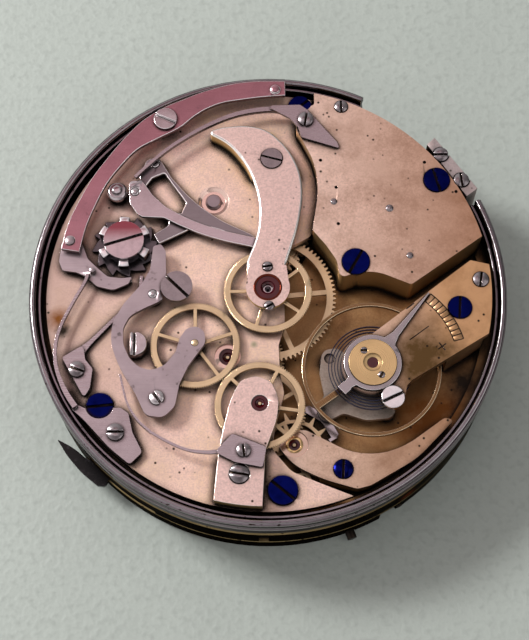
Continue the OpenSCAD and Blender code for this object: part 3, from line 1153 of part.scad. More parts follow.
// Dial side
module cannon_pinion() color(steel) difference() {
    union() {
        pinion([0, 0], cannon_teeth, motion_m, minute_z - 0.05, plate_z - 0.05, toward([0, 0], minute_at));
        disc([0, 0], cannon_r, cannon_z, minute_z, 32);
    }
    disc([0, 0], centre_pipe_r, 0, plate_z + 1, 32);
}
module hour_wheel() color(brass) difference() {
    union() {
        pinion([0, 0], hour_teeth, hour_m, hour_z, hour_z + 0.3, mesh_turn([0, 0], minute_at, hour_teeth));
        disc([0, 0], hour_post_r, hour_post_z, hour_z + 0.01, 48);
        disc([0, 0], hour_pipe_r, hour_z, minute_z - 0.1, 48);
    }
    disc([0, 0], cannon_r + pivot_gap, 0, plate_z, 32);
}
module minute_wheel() color(brass) difference() {
    union() {
        pinion(minute_at, minute_teeth, motion_m, minute_z + 0.1, minute_z + 0.4,
            mesh_turn(minute_at, [0, 0], minute_teeth));
        pinion(minute_at, minute_leaves, hour_m, hour_z - 0.05, minute_z + 0.11, toward(minute_at, [0, 0]));
    }
    disc(minute_at, minute_post_r + pivot_gap, 0, plate_z, 32);
}
module setting_lever() color("#2c2a30") slab(setting_z, setting_z + setting_t) difference() {
    union() {
        spot(setting_pivot, setting_post_r + 0.3);
        polygon(soft([[-13.6, -11.95, 0.2], [-16.6, -14.3, 0.8], [-18.1, -12.95, 16],
            [-19.75, -12.05, 0.05], [-18.75, -13.65, 6], [-17.4, -15.25, 6], [-15.9, -16.5, 0.2],
            [-15.2, -16.6, 0.3], [-14.7, -15.7, 0.8], [-12.45, -13, 0.2]]));
    }
    spot(setting_pivot, setting_post_r + pivot_gap, 32);
}
// Winding
module winding_arbor() color(steel) difference() {
    along_stem(room_in + 0.2, plate_r - 1, arbor_hole_r - pivot_gap);
    along_stem(plate_r - stem_socket_l, plate_r, stem_socket_r, 32);
}
module winding_pinion() color(steel) on_stem() translate([winding_pinion_at, 0, stem_z])
    rotate([0, 90, 0]) linear_extrude(winding_pinion_l) difference() {
        polygon(teeth(16, 1.35, 0.17));
        circle(arbor_hole_r, $fn = 48);
    }
module sliding_pinion() color(steel) on_stem() translate([sliding_pinion_at, 0, stem_z]) rotate([0, 90, 0])
    difference() {
        union() {
            linear_extrude(0.8) polygon(teeth(16, 1.1, 0.14));
            cylinder(r = 0.95, h = sliding_pinion_l, $fn = 32);
            translate([0, 0, sliding_pinion_l - 0.75]) cylinder(r = 1.2, h = 0.75, $fn = 48);
        }
        translate([0, 0, -1]) cylinder(r = arbor_hole_r, h = sliding_pinion_l + 2, $fn = 48);
    }

main_plate();
dial_side_ring();
dust_ring();
chronograph_plate();
large_bridge();
escape_bridge();
pallet_bridge();
balance_cock();
endstone_cap();
chronograph_bridge();
drive_cock();
case_fixings();
blue_screws();
steel_screws();
plate_jewels();
jewel_settings();
barrel();
mainspring();
barrel_arbor();
ratchet_wheel();
winding_wheel();
crown_wheel();
winding_arbor();
winding_pinion();
sliding_pinion();
click();
centre_wheel();
third_wheel();
fourth_wheel();
driving_wheel();
escape_wheel();
pallet_fork();
balance_wheel();
balance_staff();
hairspring();
hairspring_stud();
regulator();
chronograph_wheel();
chronograph_arbor();
heart_cam();
coupling_lever();
coupling_lever_screw();
coupling_wheel();
coupling_spring();
column_wheel();
column_wheel_screw();
column_jumper();
lever_screws();
operating_lever();
pawl();
pawl_spring();
hammer();
hammer_spring();
brake_lever();
polished_post();
eccentric_stop();
cannon_pinion();
hour_wheel();
minute_wheel();
setting_lever();
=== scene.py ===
"""Looks of a pocket watch movement with a chronograph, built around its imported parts."""
import json
import math

import bpy
from bpy.props import FloatProperty, FloatVectorProperty, IntProperty, PointerProperty
from mathutils import Euler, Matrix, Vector


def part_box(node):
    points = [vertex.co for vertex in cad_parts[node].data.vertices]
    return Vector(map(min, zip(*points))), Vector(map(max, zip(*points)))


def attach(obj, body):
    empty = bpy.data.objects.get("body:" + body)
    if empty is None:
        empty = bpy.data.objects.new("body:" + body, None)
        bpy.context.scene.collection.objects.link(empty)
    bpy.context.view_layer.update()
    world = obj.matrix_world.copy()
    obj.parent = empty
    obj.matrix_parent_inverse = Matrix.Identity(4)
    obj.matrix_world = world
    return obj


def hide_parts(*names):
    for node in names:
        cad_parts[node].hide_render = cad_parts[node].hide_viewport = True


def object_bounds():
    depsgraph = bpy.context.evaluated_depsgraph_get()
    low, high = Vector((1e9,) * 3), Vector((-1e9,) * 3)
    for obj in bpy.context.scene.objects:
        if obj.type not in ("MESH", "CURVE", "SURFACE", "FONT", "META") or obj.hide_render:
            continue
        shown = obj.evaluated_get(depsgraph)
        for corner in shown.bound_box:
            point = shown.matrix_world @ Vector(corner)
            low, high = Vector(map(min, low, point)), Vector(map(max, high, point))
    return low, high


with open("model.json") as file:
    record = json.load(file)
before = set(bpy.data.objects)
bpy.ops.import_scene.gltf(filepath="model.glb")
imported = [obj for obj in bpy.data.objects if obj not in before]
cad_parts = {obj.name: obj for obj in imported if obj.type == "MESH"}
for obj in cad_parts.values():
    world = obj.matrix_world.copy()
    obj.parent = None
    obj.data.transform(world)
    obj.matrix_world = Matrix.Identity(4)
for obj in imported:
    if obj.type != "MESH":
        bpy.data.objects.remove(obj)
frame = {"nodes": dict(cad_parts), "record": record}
cad_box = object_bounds()

bl_info = {
    "name": "Pocket Watch Movement",
    "version": (1, 0, 0),
    "blender": (4, 5, 0),
    "location": "View3D > Sidebar > Movement",
    "description": "Finishes the parts of a chronograph pocket watch movement",
    "category": "Object",
}

MM = 0.001
NODES = frame["nodes"]

# Points closer than WELD become one point, and faces that turn by less than FLAT one face.
WELD = 0.0005 * MM
FLAT = math.radians(0.5)
# Edges that turn by more than SHARP are softened, and shading is smooth over less than SMOOTH.
SHARP = math.radians(34)
SMOOTH = math.radians(50)
# A face stands upright when its normal's z is less than this.
UPRIGHT = 0.3
# The chronograph bridge's polished bevel ends at its head, this far from the centre arbor.
HEAD_RADIUS = 2.4 * MM


def linear(hex_colour):
    """Turns an sRGB hex value into linear red, green, blue and alpha."""
    parts = [int(hex_colour[i:i + 2], 16) / 255 for i in (1, 3, 5)]
    return tuple(c / 12.92 if c <= 0.04045 else ((c + 0.055) / 1.055) ** 2.4
                 for c in parts) + (1.0,)


def scale_colour(colour, factor):
    """A darker or brighter version of a linear colour."""
    return tuple(min(1.0, c * factor) for c in colour[:3]) + (1.0,)


def per_mm(size):
    """Scale of a pattern on Object coordinates whose features are size millimetres."""
    return 1 / (size * MM)


def at(x, y, z):
    """A place or a step that is given in millimetres."""
    return Vector((x, y, z)) * MM


def colour_prop(name, description, hex_colour):
    """A colour setting with an sRGB hex value as its default."""
    return FloatVectorProperty(name=name, description=description, subtype="COLOR", size=4,
                               min=0.0, max=1.0, default=linear(hex_colour))


class MovementFinishes(bpy.types.PropertyGroup):
    """Colours of the metals and stones."""
    gilding: colour_prop("Rose gilding", "Frosted plate on the chronograph side", "#fbd6c8")
    warm_gilding: colour_prop("Warm gilding", "Frosted bridges beside the balance", "#ffdccb")
    brown_gilding: colour_prop("Brown gilding", "Main plate under the balance", "#b58a5e")
    wall_gilding: colour_prop("Wall gilding", "Upright walls of the bridges", "#a3855a")
    stain: colour_prop("Stain", "Old oil on the gilding", "#74441a")
    pale_bridge: colour_prop("Pale bridge", "Bridges of the chronograph works", "#ecc9c0")
    steel: colour_prop("Ground steel", "Levers and springs", "#b3a2a6")
    # The rose in this steel colour is a painted reflection; the grey under it is the steel's own.
    steel_with_rose_sheen: colour_prop("Rose steel", "Long lever at the edge", "#b4808a")
    bright_steel: colour_prop("Bright steel", "Screw heads and the polished post", "#c4b7ba")
    # This pale colour on polished bevels and tops is a painted highlight.
    bevel_steel: colour_prop("Polished bevel", "Bright edges of springs and screws", "#efe6e8")
    dark_steel: colour_prop("Dark steel", "Column wheel and chronograph arbor", "#4a4548")
    ring_steel: colour_prop("Ring steel", "Open dust ring and mainspring", "#93858c")
    band: colour_prop("Dark brass", "Outer wall of the ring on the dial side", "#241d15")
    blued: colour_prop("Blued steel", "Heat-blued screws", "#080f52")
    wheel_brass: colour_prop("Wheel brass", "Train and chronograph wheels", "#e0c29c")
    cap_brass: colour_prop("Cap brass", "Cap on the balance cock", "#e6c18c")
    ruby: colour_prop("Ruby", "Jewels", "#4a0712")
    # The grime colour marks real pits, rust and oil, and is also used for painted shade in corners
    # and under parts.
    grime_and_shade: colour_prop("Grime", "Dirt in the corners", "#2a2018")


class MovementSizes(bpy.types.PropertyGroup):
    """Sizes of the finish."""
    plate_bevel: FloatProperty(
        name="Plate edge", description="Width of the softened edge of a plate",
        default=0.1 * MM, unit="LENGTH")
    lever_bevel: FloatProperty(
        name="Lever edge", description="Width of the polished edge of a lever",
        default=0.12 * MM, unit="LENGTH")
    screw_bevel: FloatProperty(
        name="Screw edge", description="Width of the polished edge of a screw head",
        default=0.035 * MM, unit="LENGTH")
    spring_turns: IntProperty(
        name="Hairspring turns", description="Turns of the hairspring", default=12)
    spring_inner: FloatProperty(
        name="Hairspring inner radius", description="Radius at the collet",
        default=0.75 * MM, unit="LENGTH")
    spring_strip: FloatProperty(
        name="Hairspring strip", description="Thickness of the hairspring's strip",
        default=0.075 * MM, unit="LENGTH")


class MovementStage(bpy.types.PropertyGroup):
    """Camera, lamps and floor."""
    distance: FloatProperty(
        name="Camera distance", description="From the top of the dust ring",
        default=0.14, unit="LENGTH")
    tilt: FloatProperty(
        name="Camera tilt", description="Angle between the view and straight down",
        default=math.radians(20.8), subtype="ANGLE")
    roll: FloatProperty(
        name="Camera roll", description="Turn of the picture",
        default=math.radians(0.74), subtype="ANGLE")
    lens: FloatProperty(
        name="Lens", description="Focal length on a 36 mm picture side, in millimetres",
        default=86.09, unit="CAMERA")
    offset_x: FloatProperty(
        name="Aim across", description="How far right of the middle the target lies",
        default=0.0022, subtype="ANGLE")
    offset_y: FloatProperty(
        name="Aim up", description="How far above the middle the target lies",
        default=0.0195, subtype="ANGLE")
    floor: colour_prop("Floor", "Matt board under the movement", "#a6aca5")
    key_power: FloatProperty(
        name="Key lamp", description="Power of the soft lamp at the upper left, in watts",
        default=1.8, unit="POWER")
    over_power: FloatProperty(
        name="Overhead lamp", description="Power of the lamp above the movement, in watts",
        default=0.115, unit="POWER")
    fill_power: FloatProperty(
        name="Fill lamp", description="Power of the soft lamp at the right, in watts",
        default=0.4, unit="POWER")
    sky: FloatProperty(
        name="Sky", description="Strength of the even light from all sides", default=0.8)


# Nodes of a material

def add(tree, kind, settings=None):
    """Adds a node with its settings. A setting that is another node's output is linked."""
    node = tree.nodes.new("ShaderNode" + kind)
    for name, value in (settings or {}).items():
        if isinstance(value, bpy.types.NodeSocket):
            tree.links.new(value, node.inputs[name])
        elif isinstance(name, str) and hasattr(node, name):
            setattr(node, name, value)
        else:
            node.inputs[name].default_value = value
    return node


def new_material(name):
    """A material, its node tree and the coordinates that its patterns lie on."""
    material = bpy.data.materials.new(name)
    material.use_nodes = True
    tree = material.node_tree
    tree.nodes.clear()
    return material, tree, add(tree, "TexCoord").outputs["Object"]


def surfaced(material, settings):
    """The material with a shader that has these settings."""
    tree = material.node_tree
    shader = add(tree, "BsdfPrincipled", settings)
    add(tree, "OutputMaterial", {"Surface": shader.outputs["BSDF"]})
    return material


def coat(tree, under, over, pattern, low=None, high=None):
    """Lays a colour over another: not at all where a pattern is low, and fully where it is high."""
    if low is not None:
        pattern = add(tree, "MapRange", {"Value": pattern, "From Min": low,
                                         "From Max": high}).outputs["Result"]
    return add(tree, "Mix", {"data_type": "RGBA", 0: pattern, 6: under, 7: over}).outputs[2]


def corner_shade_and_dirt(tree, reach, full=0.58):
    """Amount of painted shade, with some dirt, between surfaces within reach; complete at occlusion
    full.
    """
    shade = add(tree, "AmbientOcclusion", {"samples": 6, "Distance": reach}).outputs["AO"]
    return add(tree, "MapRange", {"Value": shade, "From Min": 0.92,
                                  "From Max": full}).outputs["Result"]


def old_oil(tree, coords, place, reach):
    """Amount of old oil round a place, with a ragged edge."""
    away = add(tree, "VectorMath", {"operation": "DISTANCE", 0: coords, 1: place}).outputs["Value"]
    ragged = add(tree, "TexNoise", {"Vector": coords, "Scale": per_mm(1.6), "Detail": 5.0,
                                    "Roughness": 0.65}).outputs["Fac"]
    push = add(tree, "Math", {"operation": "MULTIPLY_ADD", 0: ragged, 1: reach * 1.1,
                              2: away}).outputs["Value"]
    return add(tree, "MapRange", {"Value": push, "From Min": reach * 1.55,
                                  "From Max": reach * 0.75}).outputs["Result"]


def side_share(tree, most=1.0):
    """Most on upright walls and 0 on faces that look up or down."""
    normal = add(tree, "NewGeometry").outputs["True Normal"]
    upward = add(tree, "SeparateXYZ", {"Vector": normal}).outputs["Z"]
    level = add(tree, "Math", {"operation": "ABSOLUTE", 0: upward}).outputs["Value"]
    return add(tree, "MapRange", {"Value": level, "From Min": UPRIGHT * 2, "From Max": UPRIGHT,
                                  "To Max": most}).outputs["Result"]


def near_level(tree, coords, level, half):
    """1 at points whose height is within half of level."""
    height = add(tree, "SeparateXYZ", {"Vector": coords}).outputs["Z"]
    return add(tree, "Math", {"operation": "COMPARE", 0: height, 1: level,
                              2: half}).outputs["Value"]


def turned_sinks(tree, coords, sinks):
    """1 on the polished faces of round sinks, each (centre, radius, level, half its height)."""
    total = 0.0
    for centre, radius, level, half in sinks:
        away = add(tree, "VectorMath", {"operation": "DISTANCE", 0: coords,
                                        1: (centre.x, centre.y, level)}).outputs["Value"]
        inside = add(tree, "Math", {"operation": "LESS_THAN", 0: away, 1: radius}).outputs["Value"]
        face = add(tree, "Math", {"operation": "MULTIPLY", 0: inside,
                                  1: near_level(tree, coords, level, half)}).outputs["Value"]
        total = add(tree, "Math", {"operation": "MAXIMUM", 0: total, 1: face}).outputs["Value"]
    return total


# Materials

def frosted_gilding(look, name, colour, cloud=0.22, tarnish=0.0, patch=None, wall=None, shaded_across=None,
                    stains=(), sinks=(), engraved_at=None, shaded_below=None):
    """Brass that was grained with powder and gilded: soft sheen, fine speckle and small pits.

    cloud and tarnish are the strength of its large patches, patch is their colour, and wall is
    the colour of upright faces. shaded_across is (first x, last x, colour) of painted shade that
    grows across. stains are old oil and painted shadow, each (place, reach, colour), and sinks
    are as in turned_sinks. Engraved lines end at height engraved_at and are darkened with
    painted shade, and everything under height shaded_below is darkened with painted shade.
    """
    material, tree, coords = new_material(name)
    grime_and_shade = look.grime_and_shade[:]
    clouds = add(tree, "TexNoise", {"Vector": coords, "Scale": per_mm(5), "Detail": 5.0,
                                    "Roughness": 0.6}).outputs["Fac"]
    mottle = add(tree, "TexNoise", {"Vector": coords, "Scale": per_mm(0.4), "Detail": 4.0,
                                    "Roughness": 0.7}).outputs["Fac"]
    grain = add(tree, "TexNoise", {"Vector": coords, "Scale": per_mm(0.16)}).outputs["Fac"]
    tone = coat(tree, colour, scale_colour(patch or colour, 1 - cloud), clouds, 0.35, 0.75)
    tone = coat(tree, tone, scale_colour(colour, 0.74), mottle, 0.45, 0.78)
    tone = coat(tree, tone, scale_colour(colour, 0.7), grain, 0.42, 0.75)
    # Painted shade grows across the piece along x.
    if shaded_across is not None:
        first, last, old = shaded_across
        across = add(tree, "SeparateXYZ", {"Vector": coords}).outputs["X"]
        tone = coat(tree, tone, old, across, first, last)
    if tarnish:
        dull = add(tree, "TexNoise", {"Vector": coords, "Scale": per_mm(3.5), "Detail": 6.0,
                                      "Roughness": 0.72}).outputs["Fac"]
        share = add(tree, "MapRange", {"Value": dull, "From Min": 0.45, "From Max": 0.75,
                                       "To Max": tarnish}).outputs["Result"]
        tone = coat(tree, tone, look.stain[:], share)
    for place, reach, old in stains:
        tone = coat(tree, tone, old, old_oil(tree, coords, place, reach))
    # Small black pits where the gilding has gone, about one in each millimetre, in some places.
    cells = add(tree, "TexVoronoi", {"Vector": coords, "Scale": per_mm(1.1)}).outputs["Distance"]
    dots = add(tree, "MapRange", {"Value": cells, "From Min": 0.13,
                                  "From Max": 0.07}).outputs["Result"]
    some = add(tree, "TexNoise", {"Vector": coords, "Scale": per_mm(2.3),
                                  "Detail": 1.0}).outputs["Fac"]
    pits = add(tree, "MapRange", {"Value": some, "From Min": 0.38, "From Max": 0.48,
                                  "To Max": dots}).outputs["Result"]
    tone = coat(tree, tone, grime_and_shade, pits)
    if wall is not None:
        tone = coat(tree, tone, wall, side_share(tree))
    # The engraved lines are darkened with painted shade.
    if engraved_at is not None:
        tone = coat(tree, tone, grime_and_shade, near_level(tree, coords, engraved_at, 0.012 * MM))
    # Below this height the piece is darkened: painted shade beneath the dust ring.
    if shaded_below is not None:
        height = add(tree, "SeparateXYZ", {"Vector": coords}).outputs["Z"]
        tone = coat(tree, tone, grime_and_shade, height, shaded_below + 0.1 * MM, shaded_below)
    # Painted shade, with some dirt, darkens the gilding in corners and beside raised parts.
    tone = coat(tree, tone, scale_colour(grime_and_shade, 0.45), corner_shade_and_dirt(tree, 1.0 * MM, 0.68))
    rough = add(tree, "MapRange", {"Value": clouds, "To Min": 0.34,
                                   "To Max": 0.52}).outputs["Result"]
    if sinks:
        polished = turned_sinks(tree, coords, sinks)
        tone = coat(tree, tone, scale_colour(colour, 0.85), polished)
        rough = add(tree, "MapRange", {"Value": polished, "To Min": rough,
                                       "To Max": 0.14}).outputs["Result"]
    bump = add(tree, "Bump", {"Height": grain, "Strength": 0.35, "Distance": 0.012 * MM})
    return surfaced(material, {"Base Color": tone, "Metallic": 0.82, "Roughness": rough,
                               "Normal": bump.outputs["Normal"]})


def ground_steel(look, name, colour, direction, rust=0.35, rough=0.3, stains=()):
    """Steel that was ground along one direction: fine straight grain and a few rust spots."""
    material, tree, coords = new_material(name)
    grime_and_shade = look.grime_and_shade[:]
    along = add(tree, "Mapping", {
        "Vector": coords, "Rotation": (0, 0, math.radians(direction)),
        "Scale": (per_mm(2.5), per_mm(0.07), per_mm(0.5))}).outputs["Vector"]
    grain = add(tree, "TexNoise", {"Vector": along, "Scale": 1.0, "Detail": 3.0}).outputs["Fac"]
    clouds = add(tree, "TexNoise", {"Vector": coords, "Scale": per_mm(3), "Detail": 5.0,
                                    "Roughness": 0.65}).outputs["Fac"]
    tone = coat(tree, scale_colour(colour, 0.9), colour, grain, 0.3, 0.7)
    tone = coat(tree, tone, scale_colour(colour, 0.72), clouds, 0.45, 0.8)
    # Rust spots come only inside some of the clouds.
    rusty = add(tree, "MapRange", {"Value": clouds, "From Min": 0.52, "From Max": 0.62,
                                   "To Max": rust}).outputs["Result"]
    specks = add(tree, "TexNoise", {"Vector": coords, "Scale": per_mm(0.6),
                                    "Detail": 4.0}).outputs["Fac"]
    spots = add(tree, "MapRange", {"Value": specks, "From Min": 0.6, "From Max": 0.68,
                                   "To Max": rusty}).outputs["Result"]
    tone = coat(tree, tone, grime_and_shade, spots)
    for place, reach in stains:
        tone = coat(tree, tone, grime_and_shade, old_oil(tree, coords, place, reach))
    # Painted shade, with some dirt, darkens the steel in corners and beside raised parts.
    tone = coat(tree, tone, grime_and_shade, corner_shade_and_dirt(tree, 0.35 * MM))
    # The upright sides are darkened: partly dirt, partly painted shade.
    tone = coat(tree, tone, grime_and_shade, side_share(tree, 0.65))
    gloss = add(tree, "MapRange", {"Value": grain, "To Min": rough - 0.06, "To Max": rough + 0.1})
    bump = add(tree, "Bump", {"Height": grain, "Strength": 0.2, "Distance": 0.006 * MM})
    return surfaced(material, {"Base Color": tone, "Metallic": 0.9,
                               "Roughness": gloss.outputs["Result"],
                               "Normal": bump.outputs["Normal"]})


def polished_metal(name, colour, rough=0.16, shade=0.8, grime_and_shade=None, painted_reflection=None):
    """Metal polished on a hard block: clear gloss, faint scratches, and painted shade with some
    dirt in the slots.

    shade darkens its patches. painted_reflection is (first y, last y, colour) of a painted
    reflection that grows across the piece.
    """
    material, tree, coords = new_material(name)
    clouds = add(tree, "TexNoise", {"Vector": coords, "Scale": per_mm(0.7),
                                    "Detail": 3.0}).outputs["Fac"]
    tone = coat(tree, colour, scale_colour(colour, shade), clouds, 0.4, 0.8)
    # A painted reflection grows across the piece along y.
    if painted_reflection is not None:
        first, last, reflected_tone = painted_reflection
        up = add(tree, "SeparateXYZ", {"Vector": coords}).outputs["Y"]
        tone = coat(tree, tone, reflected_tone, up, first, last)
    # Painted shade darkens the slots and corners.
    if grime_and_shade is not None:
        tone = coat(tree, tone, scale_colour(grime_and_shade, 0.5), corner_shade_and_dirt(tree, 0.45 * MM, 0.74))
    along = add(tree, "Mapping", {
        "Vector": coords, "Rotation": (0, 0, math.radians(33)),
        "Scale": (per_mm(1.5), per_mm(0.05), per_mm(1))}).outputs["Vector"]
    scratches = add(tree, "TexNoise", {"Vector": along, "Scale": 1.0}).outputs["Fac"]
    gloss = add(tree, "MapRange", {"Value": scratches, "To Min": rough, "To Max": rough + 0.12})
    return surfaced(material, {"Base Color": tone, "Metallic": 1.0,
                               "Roughness": gloss.outputs["Result"]})


def burnished_settings(name, red, yellow, reach):
    """Rubbed-over gold settings: a bright, even gloss, red within reach of the centre arbor."""
    material, tree, coords = new_material(name)
    flat = add(tree, "VectorMath", {"operation": "MULTIPLY", 0: coords, 1: (1, 1, 0)})
    away = add(tree, "VectorMath", {"operation": "LENGTH", 0: flat.outputs["Vector"]})
    tone = coat(tree, red, yellow, away.outputs["Value"], reach, reach * 1.1)
    return surfaced(material, {"Base Color": tone, "Metallic": 1.0, "Roughness": 0.14})


def column_steel(name, colour, dark, top):
    """Dark steel with a painted highlight on the column tops and painted shade below them."""
    material, tree, coords = new_material(name)
    clouds = add(tree, "TexNoise", {"Vector": coords, "Scale": per_mm(0.5),
                                    "Detail": 3.0}).outputs["Fac"]
    tone = coat(tree, dark, scale_colour(dark, 2.6), clouds)
    # The column tops take the bright colour as a painted highlight.
    tone = coat(tree, tone, colour, near_level(tree, coords, top, 0.12 * MM))
    return surfaced(material, {"Base Color": tone, "Metallic": 1.0, "Roughness": 0.22})


def turned_brass(look, name, colour, centre, rough=0.28):
    """Brass faced in a lathe about a centre: fine rings, and darker patches from wear."""
    material, tree, coords = new_material(name)
    flat = add(tree, "VectorMath", {"operation": "MULTIPLY", 0: coords, 1: (1, 1, 0)})
    away = add(tree, "VectorMath", {"operation": "DISTANCE", 0: flat.outputs["Vector"],
                                    1: (centre.x, centre.y, 0)})
    rings = add(tree, "TexNoise", {"noise_dimensions": "1D", "W": away.outputs["Value"],
                                   "Scale": per_mm(0.09), "Detail": 3.0}).outputs["Fac"]
    clouds = add(tree, "TexNoise", {"Vector": coords, "Scale": per_mm(2.5),
                                    "Detail": 4.0}).outputs["Fac"]
    tone = coat(tree, scale_colour(colour, 0.88), colour, rings, 0.3, 0.7)
    tone = coat(tree, tone, scale_colour(colour, 0.7), clouds, 0.45, 0.85)
    # Painted shade, with some dirt, darkens the brass in corners.
    tone = coat(tree, tone, look.grime_and_shade[:], corner_shade_and_dirt(tree, 0.3 * MM))
    gloss = add(tree, "MapRange", {"Value": rings, "To Min": rough, "To Max": rough + 0.14})
    bump = add(tree, "Bump", {"Height": rings, "Strength": 0.2, "Distance": 0.006 * MM})
    return surfaced(material, {"Base Color": tone, "Metallic": 0.9,
                               "Roughness": gloss.outputs["Result"],
                               "Normal": bump.outputs["Normal"]})


def handled_ring(look, name, colour, wall, rust_at, rough, edge, reach):
    """Turned metal that fingers have darkened: streaks round the rim, dirt and one rust stain.

    edge is how much it shines at a grazing angle, and reach is how far painted shade, with some
    dirt, comes out of a corner.
    """
    material, tree, coords = new_material(name)
    grime_and_shade, rust = look.grime_and_shade[:], linear("#a0572e")
    around = add(tree, "Mapping", {
        "Vector": coords, "Scale": (per_mm(5), per_mm(5), per_mm(0.35))}).outputs["Vector"]
    streaks = add(tree, "TexNoise", {"Vector": around, "Scale": 1.0, "Detail": 6.0,
                                     "Roughness": 0.65}).outputs["Fac"]
    specks = add(tree, "TexNoise", {"Vector": coords, "Scale": per_mm(0.5),
                                    "Detail": 4.0}).outputs["Fac"]
    tone = coat(tree, colour, scale_colour(colour, 0.5), streaks, 0.35, 0.7)
    # Upright faces take the wall colour, darker than the top; on the dust ring this darkness is
    # painted shade.
    side = coat(tree, wall, scale_colour(wall, 2.4), streaks, 0.5, 0.3)
    tone = coat(tree, tone, side, side_share(tree))
    tone = coat(tree, tone, grime_and_shade, specks, 0.62, 0.7)
    tone = coat(tree, tone, rust, old_oil(tree, coords, rust_at, 1.1 * MM))
    # Painted shade, with some dirt, darkens the ring in corners.
    tone = coat(tree, tone, grime_and_shade, corner_shade_and_dirt(tree, reach))
    gloss = add(tree, "MapRange", {"Value": streaks, "To Min": rough - 0.08,
                                   "To Max": rough + 0.18})
    return surfaced(material, {"Base Color": tone, "Metallic": 1.0,
                               "Roughness": gloss.outputs["Result"],
                               "Specular Tint": (edge, edge, edge, 1)})


def black_steel(name, colour):
    """Steel with an old black coat: dark, with a wet gloss and a few worn spots."""
    material, tree, coords = new_material(name)
    worn = add(tree, "TexNoise", {"Vector": coords, "Scale": per_mm(0.8),
                                  "Detail": 5.0}).outputs["Fac"]
    tone = coat(tree, colour, scale_colour(colour, 5), worn, 0.56, 0.66)
    return surfaced(material, {"Base Color": tone, "Roughness": 0.2, "Specular IOR Level": 0.25})


def cut_ruby(name, colour):
    """Polished red corundum: a dark stone with a hard, wet gloss."""
    material, tree, coords = new_material(name)
    depth = add(tree, "TexNoise", {"Vector": coords, "Scale": per_mm(0.8),
                                   "Detail": 1.0}).outputs["Fac"]
    tone = coat(tree, colour, scale_colour(colour, 0.35), depth)
    return surfaced(material, {"Base Color": tone, "Roughness": 0.06, "IOR": 1.5})


def matt_board(name, colour):
    """Pale painted board: slight mottling, a fine embossed grain and a dull surface."""
    material, tree, coords = new_material(name)
    mottle = add(tree, "TexNoise", {"Vector": coords, "Scale": per_mm(9), "Detail": 6.0,
                                    "Roughness": 0.7}).outputs["Fac"]
    emboss = add(tree, "TexNoise", {"Vector": coords, "Scale": per_mm(0.7),
                                    "Detail": 1.5}).outputs["Fac"]
    tone = coat(tree, scale_colour(colour, 0.93), colour, mottle, 0.3, 0.7)
    tone = coat(tree, tone, scale_colour(colour, 0.86), emboss, 0.5, 0.72)
    bump = add(tree, "Bump", {"Height": emboss, "Strength": 0.8, "Distance": 0.07 * MM})
    return surfaced(material, {"Base Color": tone, "Roughness": 0.55,
                               "Normal": bump.outputs["Normal"]})


# Pieces

def only(piece):
    """Deselects everything, then selects one piece and makes it active."""
    bpy.ops.object.select_all(action="DESELECT")
    piece.select_set(True)
    bpy.context.view_layer.objects.active = piece


def body_of(node):
    """Name of the body that carries a node."""
    for name, nodes in frame["record"]["behaviour"]["bodies"].items():
        if node in nodes:
            return name
    raise KeyError(node)


def middle(node):
    """Middle of a node's box."""
    low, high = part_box(node)
    return (low + high) / 2


def dress(node, material):
    """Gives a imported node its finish."""
    target = NODES[node]
    if not target.material_slots:
        target.data.materials.append(material)
    for place in target.material_slots:
        place.material = material


def mark_rim(mesh):
    """Gives bevel weight 1 to the outer rim of the chronograph bridge, as far as its head."""
    points = [vertex.co for vertex in mesh.vertices]
    top = max(point.z for point in points)
    slopes = {}
    for face in mesh.polygons:
        for key in face.edge_keys:
            slopes.setdefault(key, []).append(abs(face.normal.z))
    rim = [edge for edge in mesh.edges if min(slopes[edge.key]) < UPRIGHT
           and all(top - points[end].z < 0.001 * MM for end in edge.vertices)]
    joined = {}

    def root(end):
        while joined.get(end, end) != end:
            end = joined[end]
        return end

    for edge in rim:
        first, second = map(root, edge.vertices)
        joined[first] = second
    loops = {}
    for edge in rim:
        loops.setdefault(root(edge.vertices[0]), []).append(edge)

    def length(loop):
        return sum((points[edge.vertices[0]] - points[edge.vertices[1]]).length for edge in loop)

    weights = mesh.attributes.new("bevel_weight_edge", "FLOAT", "EDGE")
    for edge in max(loops.values(), key=length):
        if all(points[end].xy.length > HEAD_RADIUS for end in edge.vertices):
            weights.data[edge.index].value = 1.0


def edged(node, material, width, bevel=None, rim_only=False):
    """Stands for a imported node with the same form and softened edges.

    A bevel is a second material: the edges then become one flat bevel in that finish.
    """
    piece = bpy.data.objects.new(node + "_edged", NODES[node].data.copy())
    bpy.context.scene.collection.objects.link(piece)
    piece.data.materials.clear()
    piece.data.materials.append(material)
    only(piece)
    bpy.ops.object.mode_set(mode="EDIT")
    bpy.ops.mesh.select_all(action="SELECT")
    bpy.ops.mesh.remove_doubles(threshold=WELD)
    bpy.ops.mesh.dissolve_limited(angle_limit=FLAT)
    bpy.ops.object.mode_set(mode="OBJECT")
    if rim_only:
        mark_rim(piece.data)
    soften = piece.modifiers.new("soft_edge", "BEVEL")
    soften.width = width
    soften.segments = 2
    soften.limit_method = "WEIGHT" if rim_only else "ANGLE"
    soften.angle_limit = SHARP
    soften.use_clamp_overlap = not rim_only
    if bevel is not None:
        piece.data.materials.append(bevel)
        soften.material = 1
        soften.segments = 1
    bpy.ops.object.modifier_apply(modifier=soften.name)
    bpy.ops.object.shade_smooth_by_angle(angle=SMOOTH)
    # Large flat faces keep their own direction, so only the softened edges curve.
    even = piece.modifiers.new("even_faces", "WEIGHTED_NORMAL")
    even.keep_sharp = True
    even.weight = 100
    bpy.ops.object.modifier_apply(modifier=even.name)
    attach(piece, body_of(node))
    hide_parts(node)


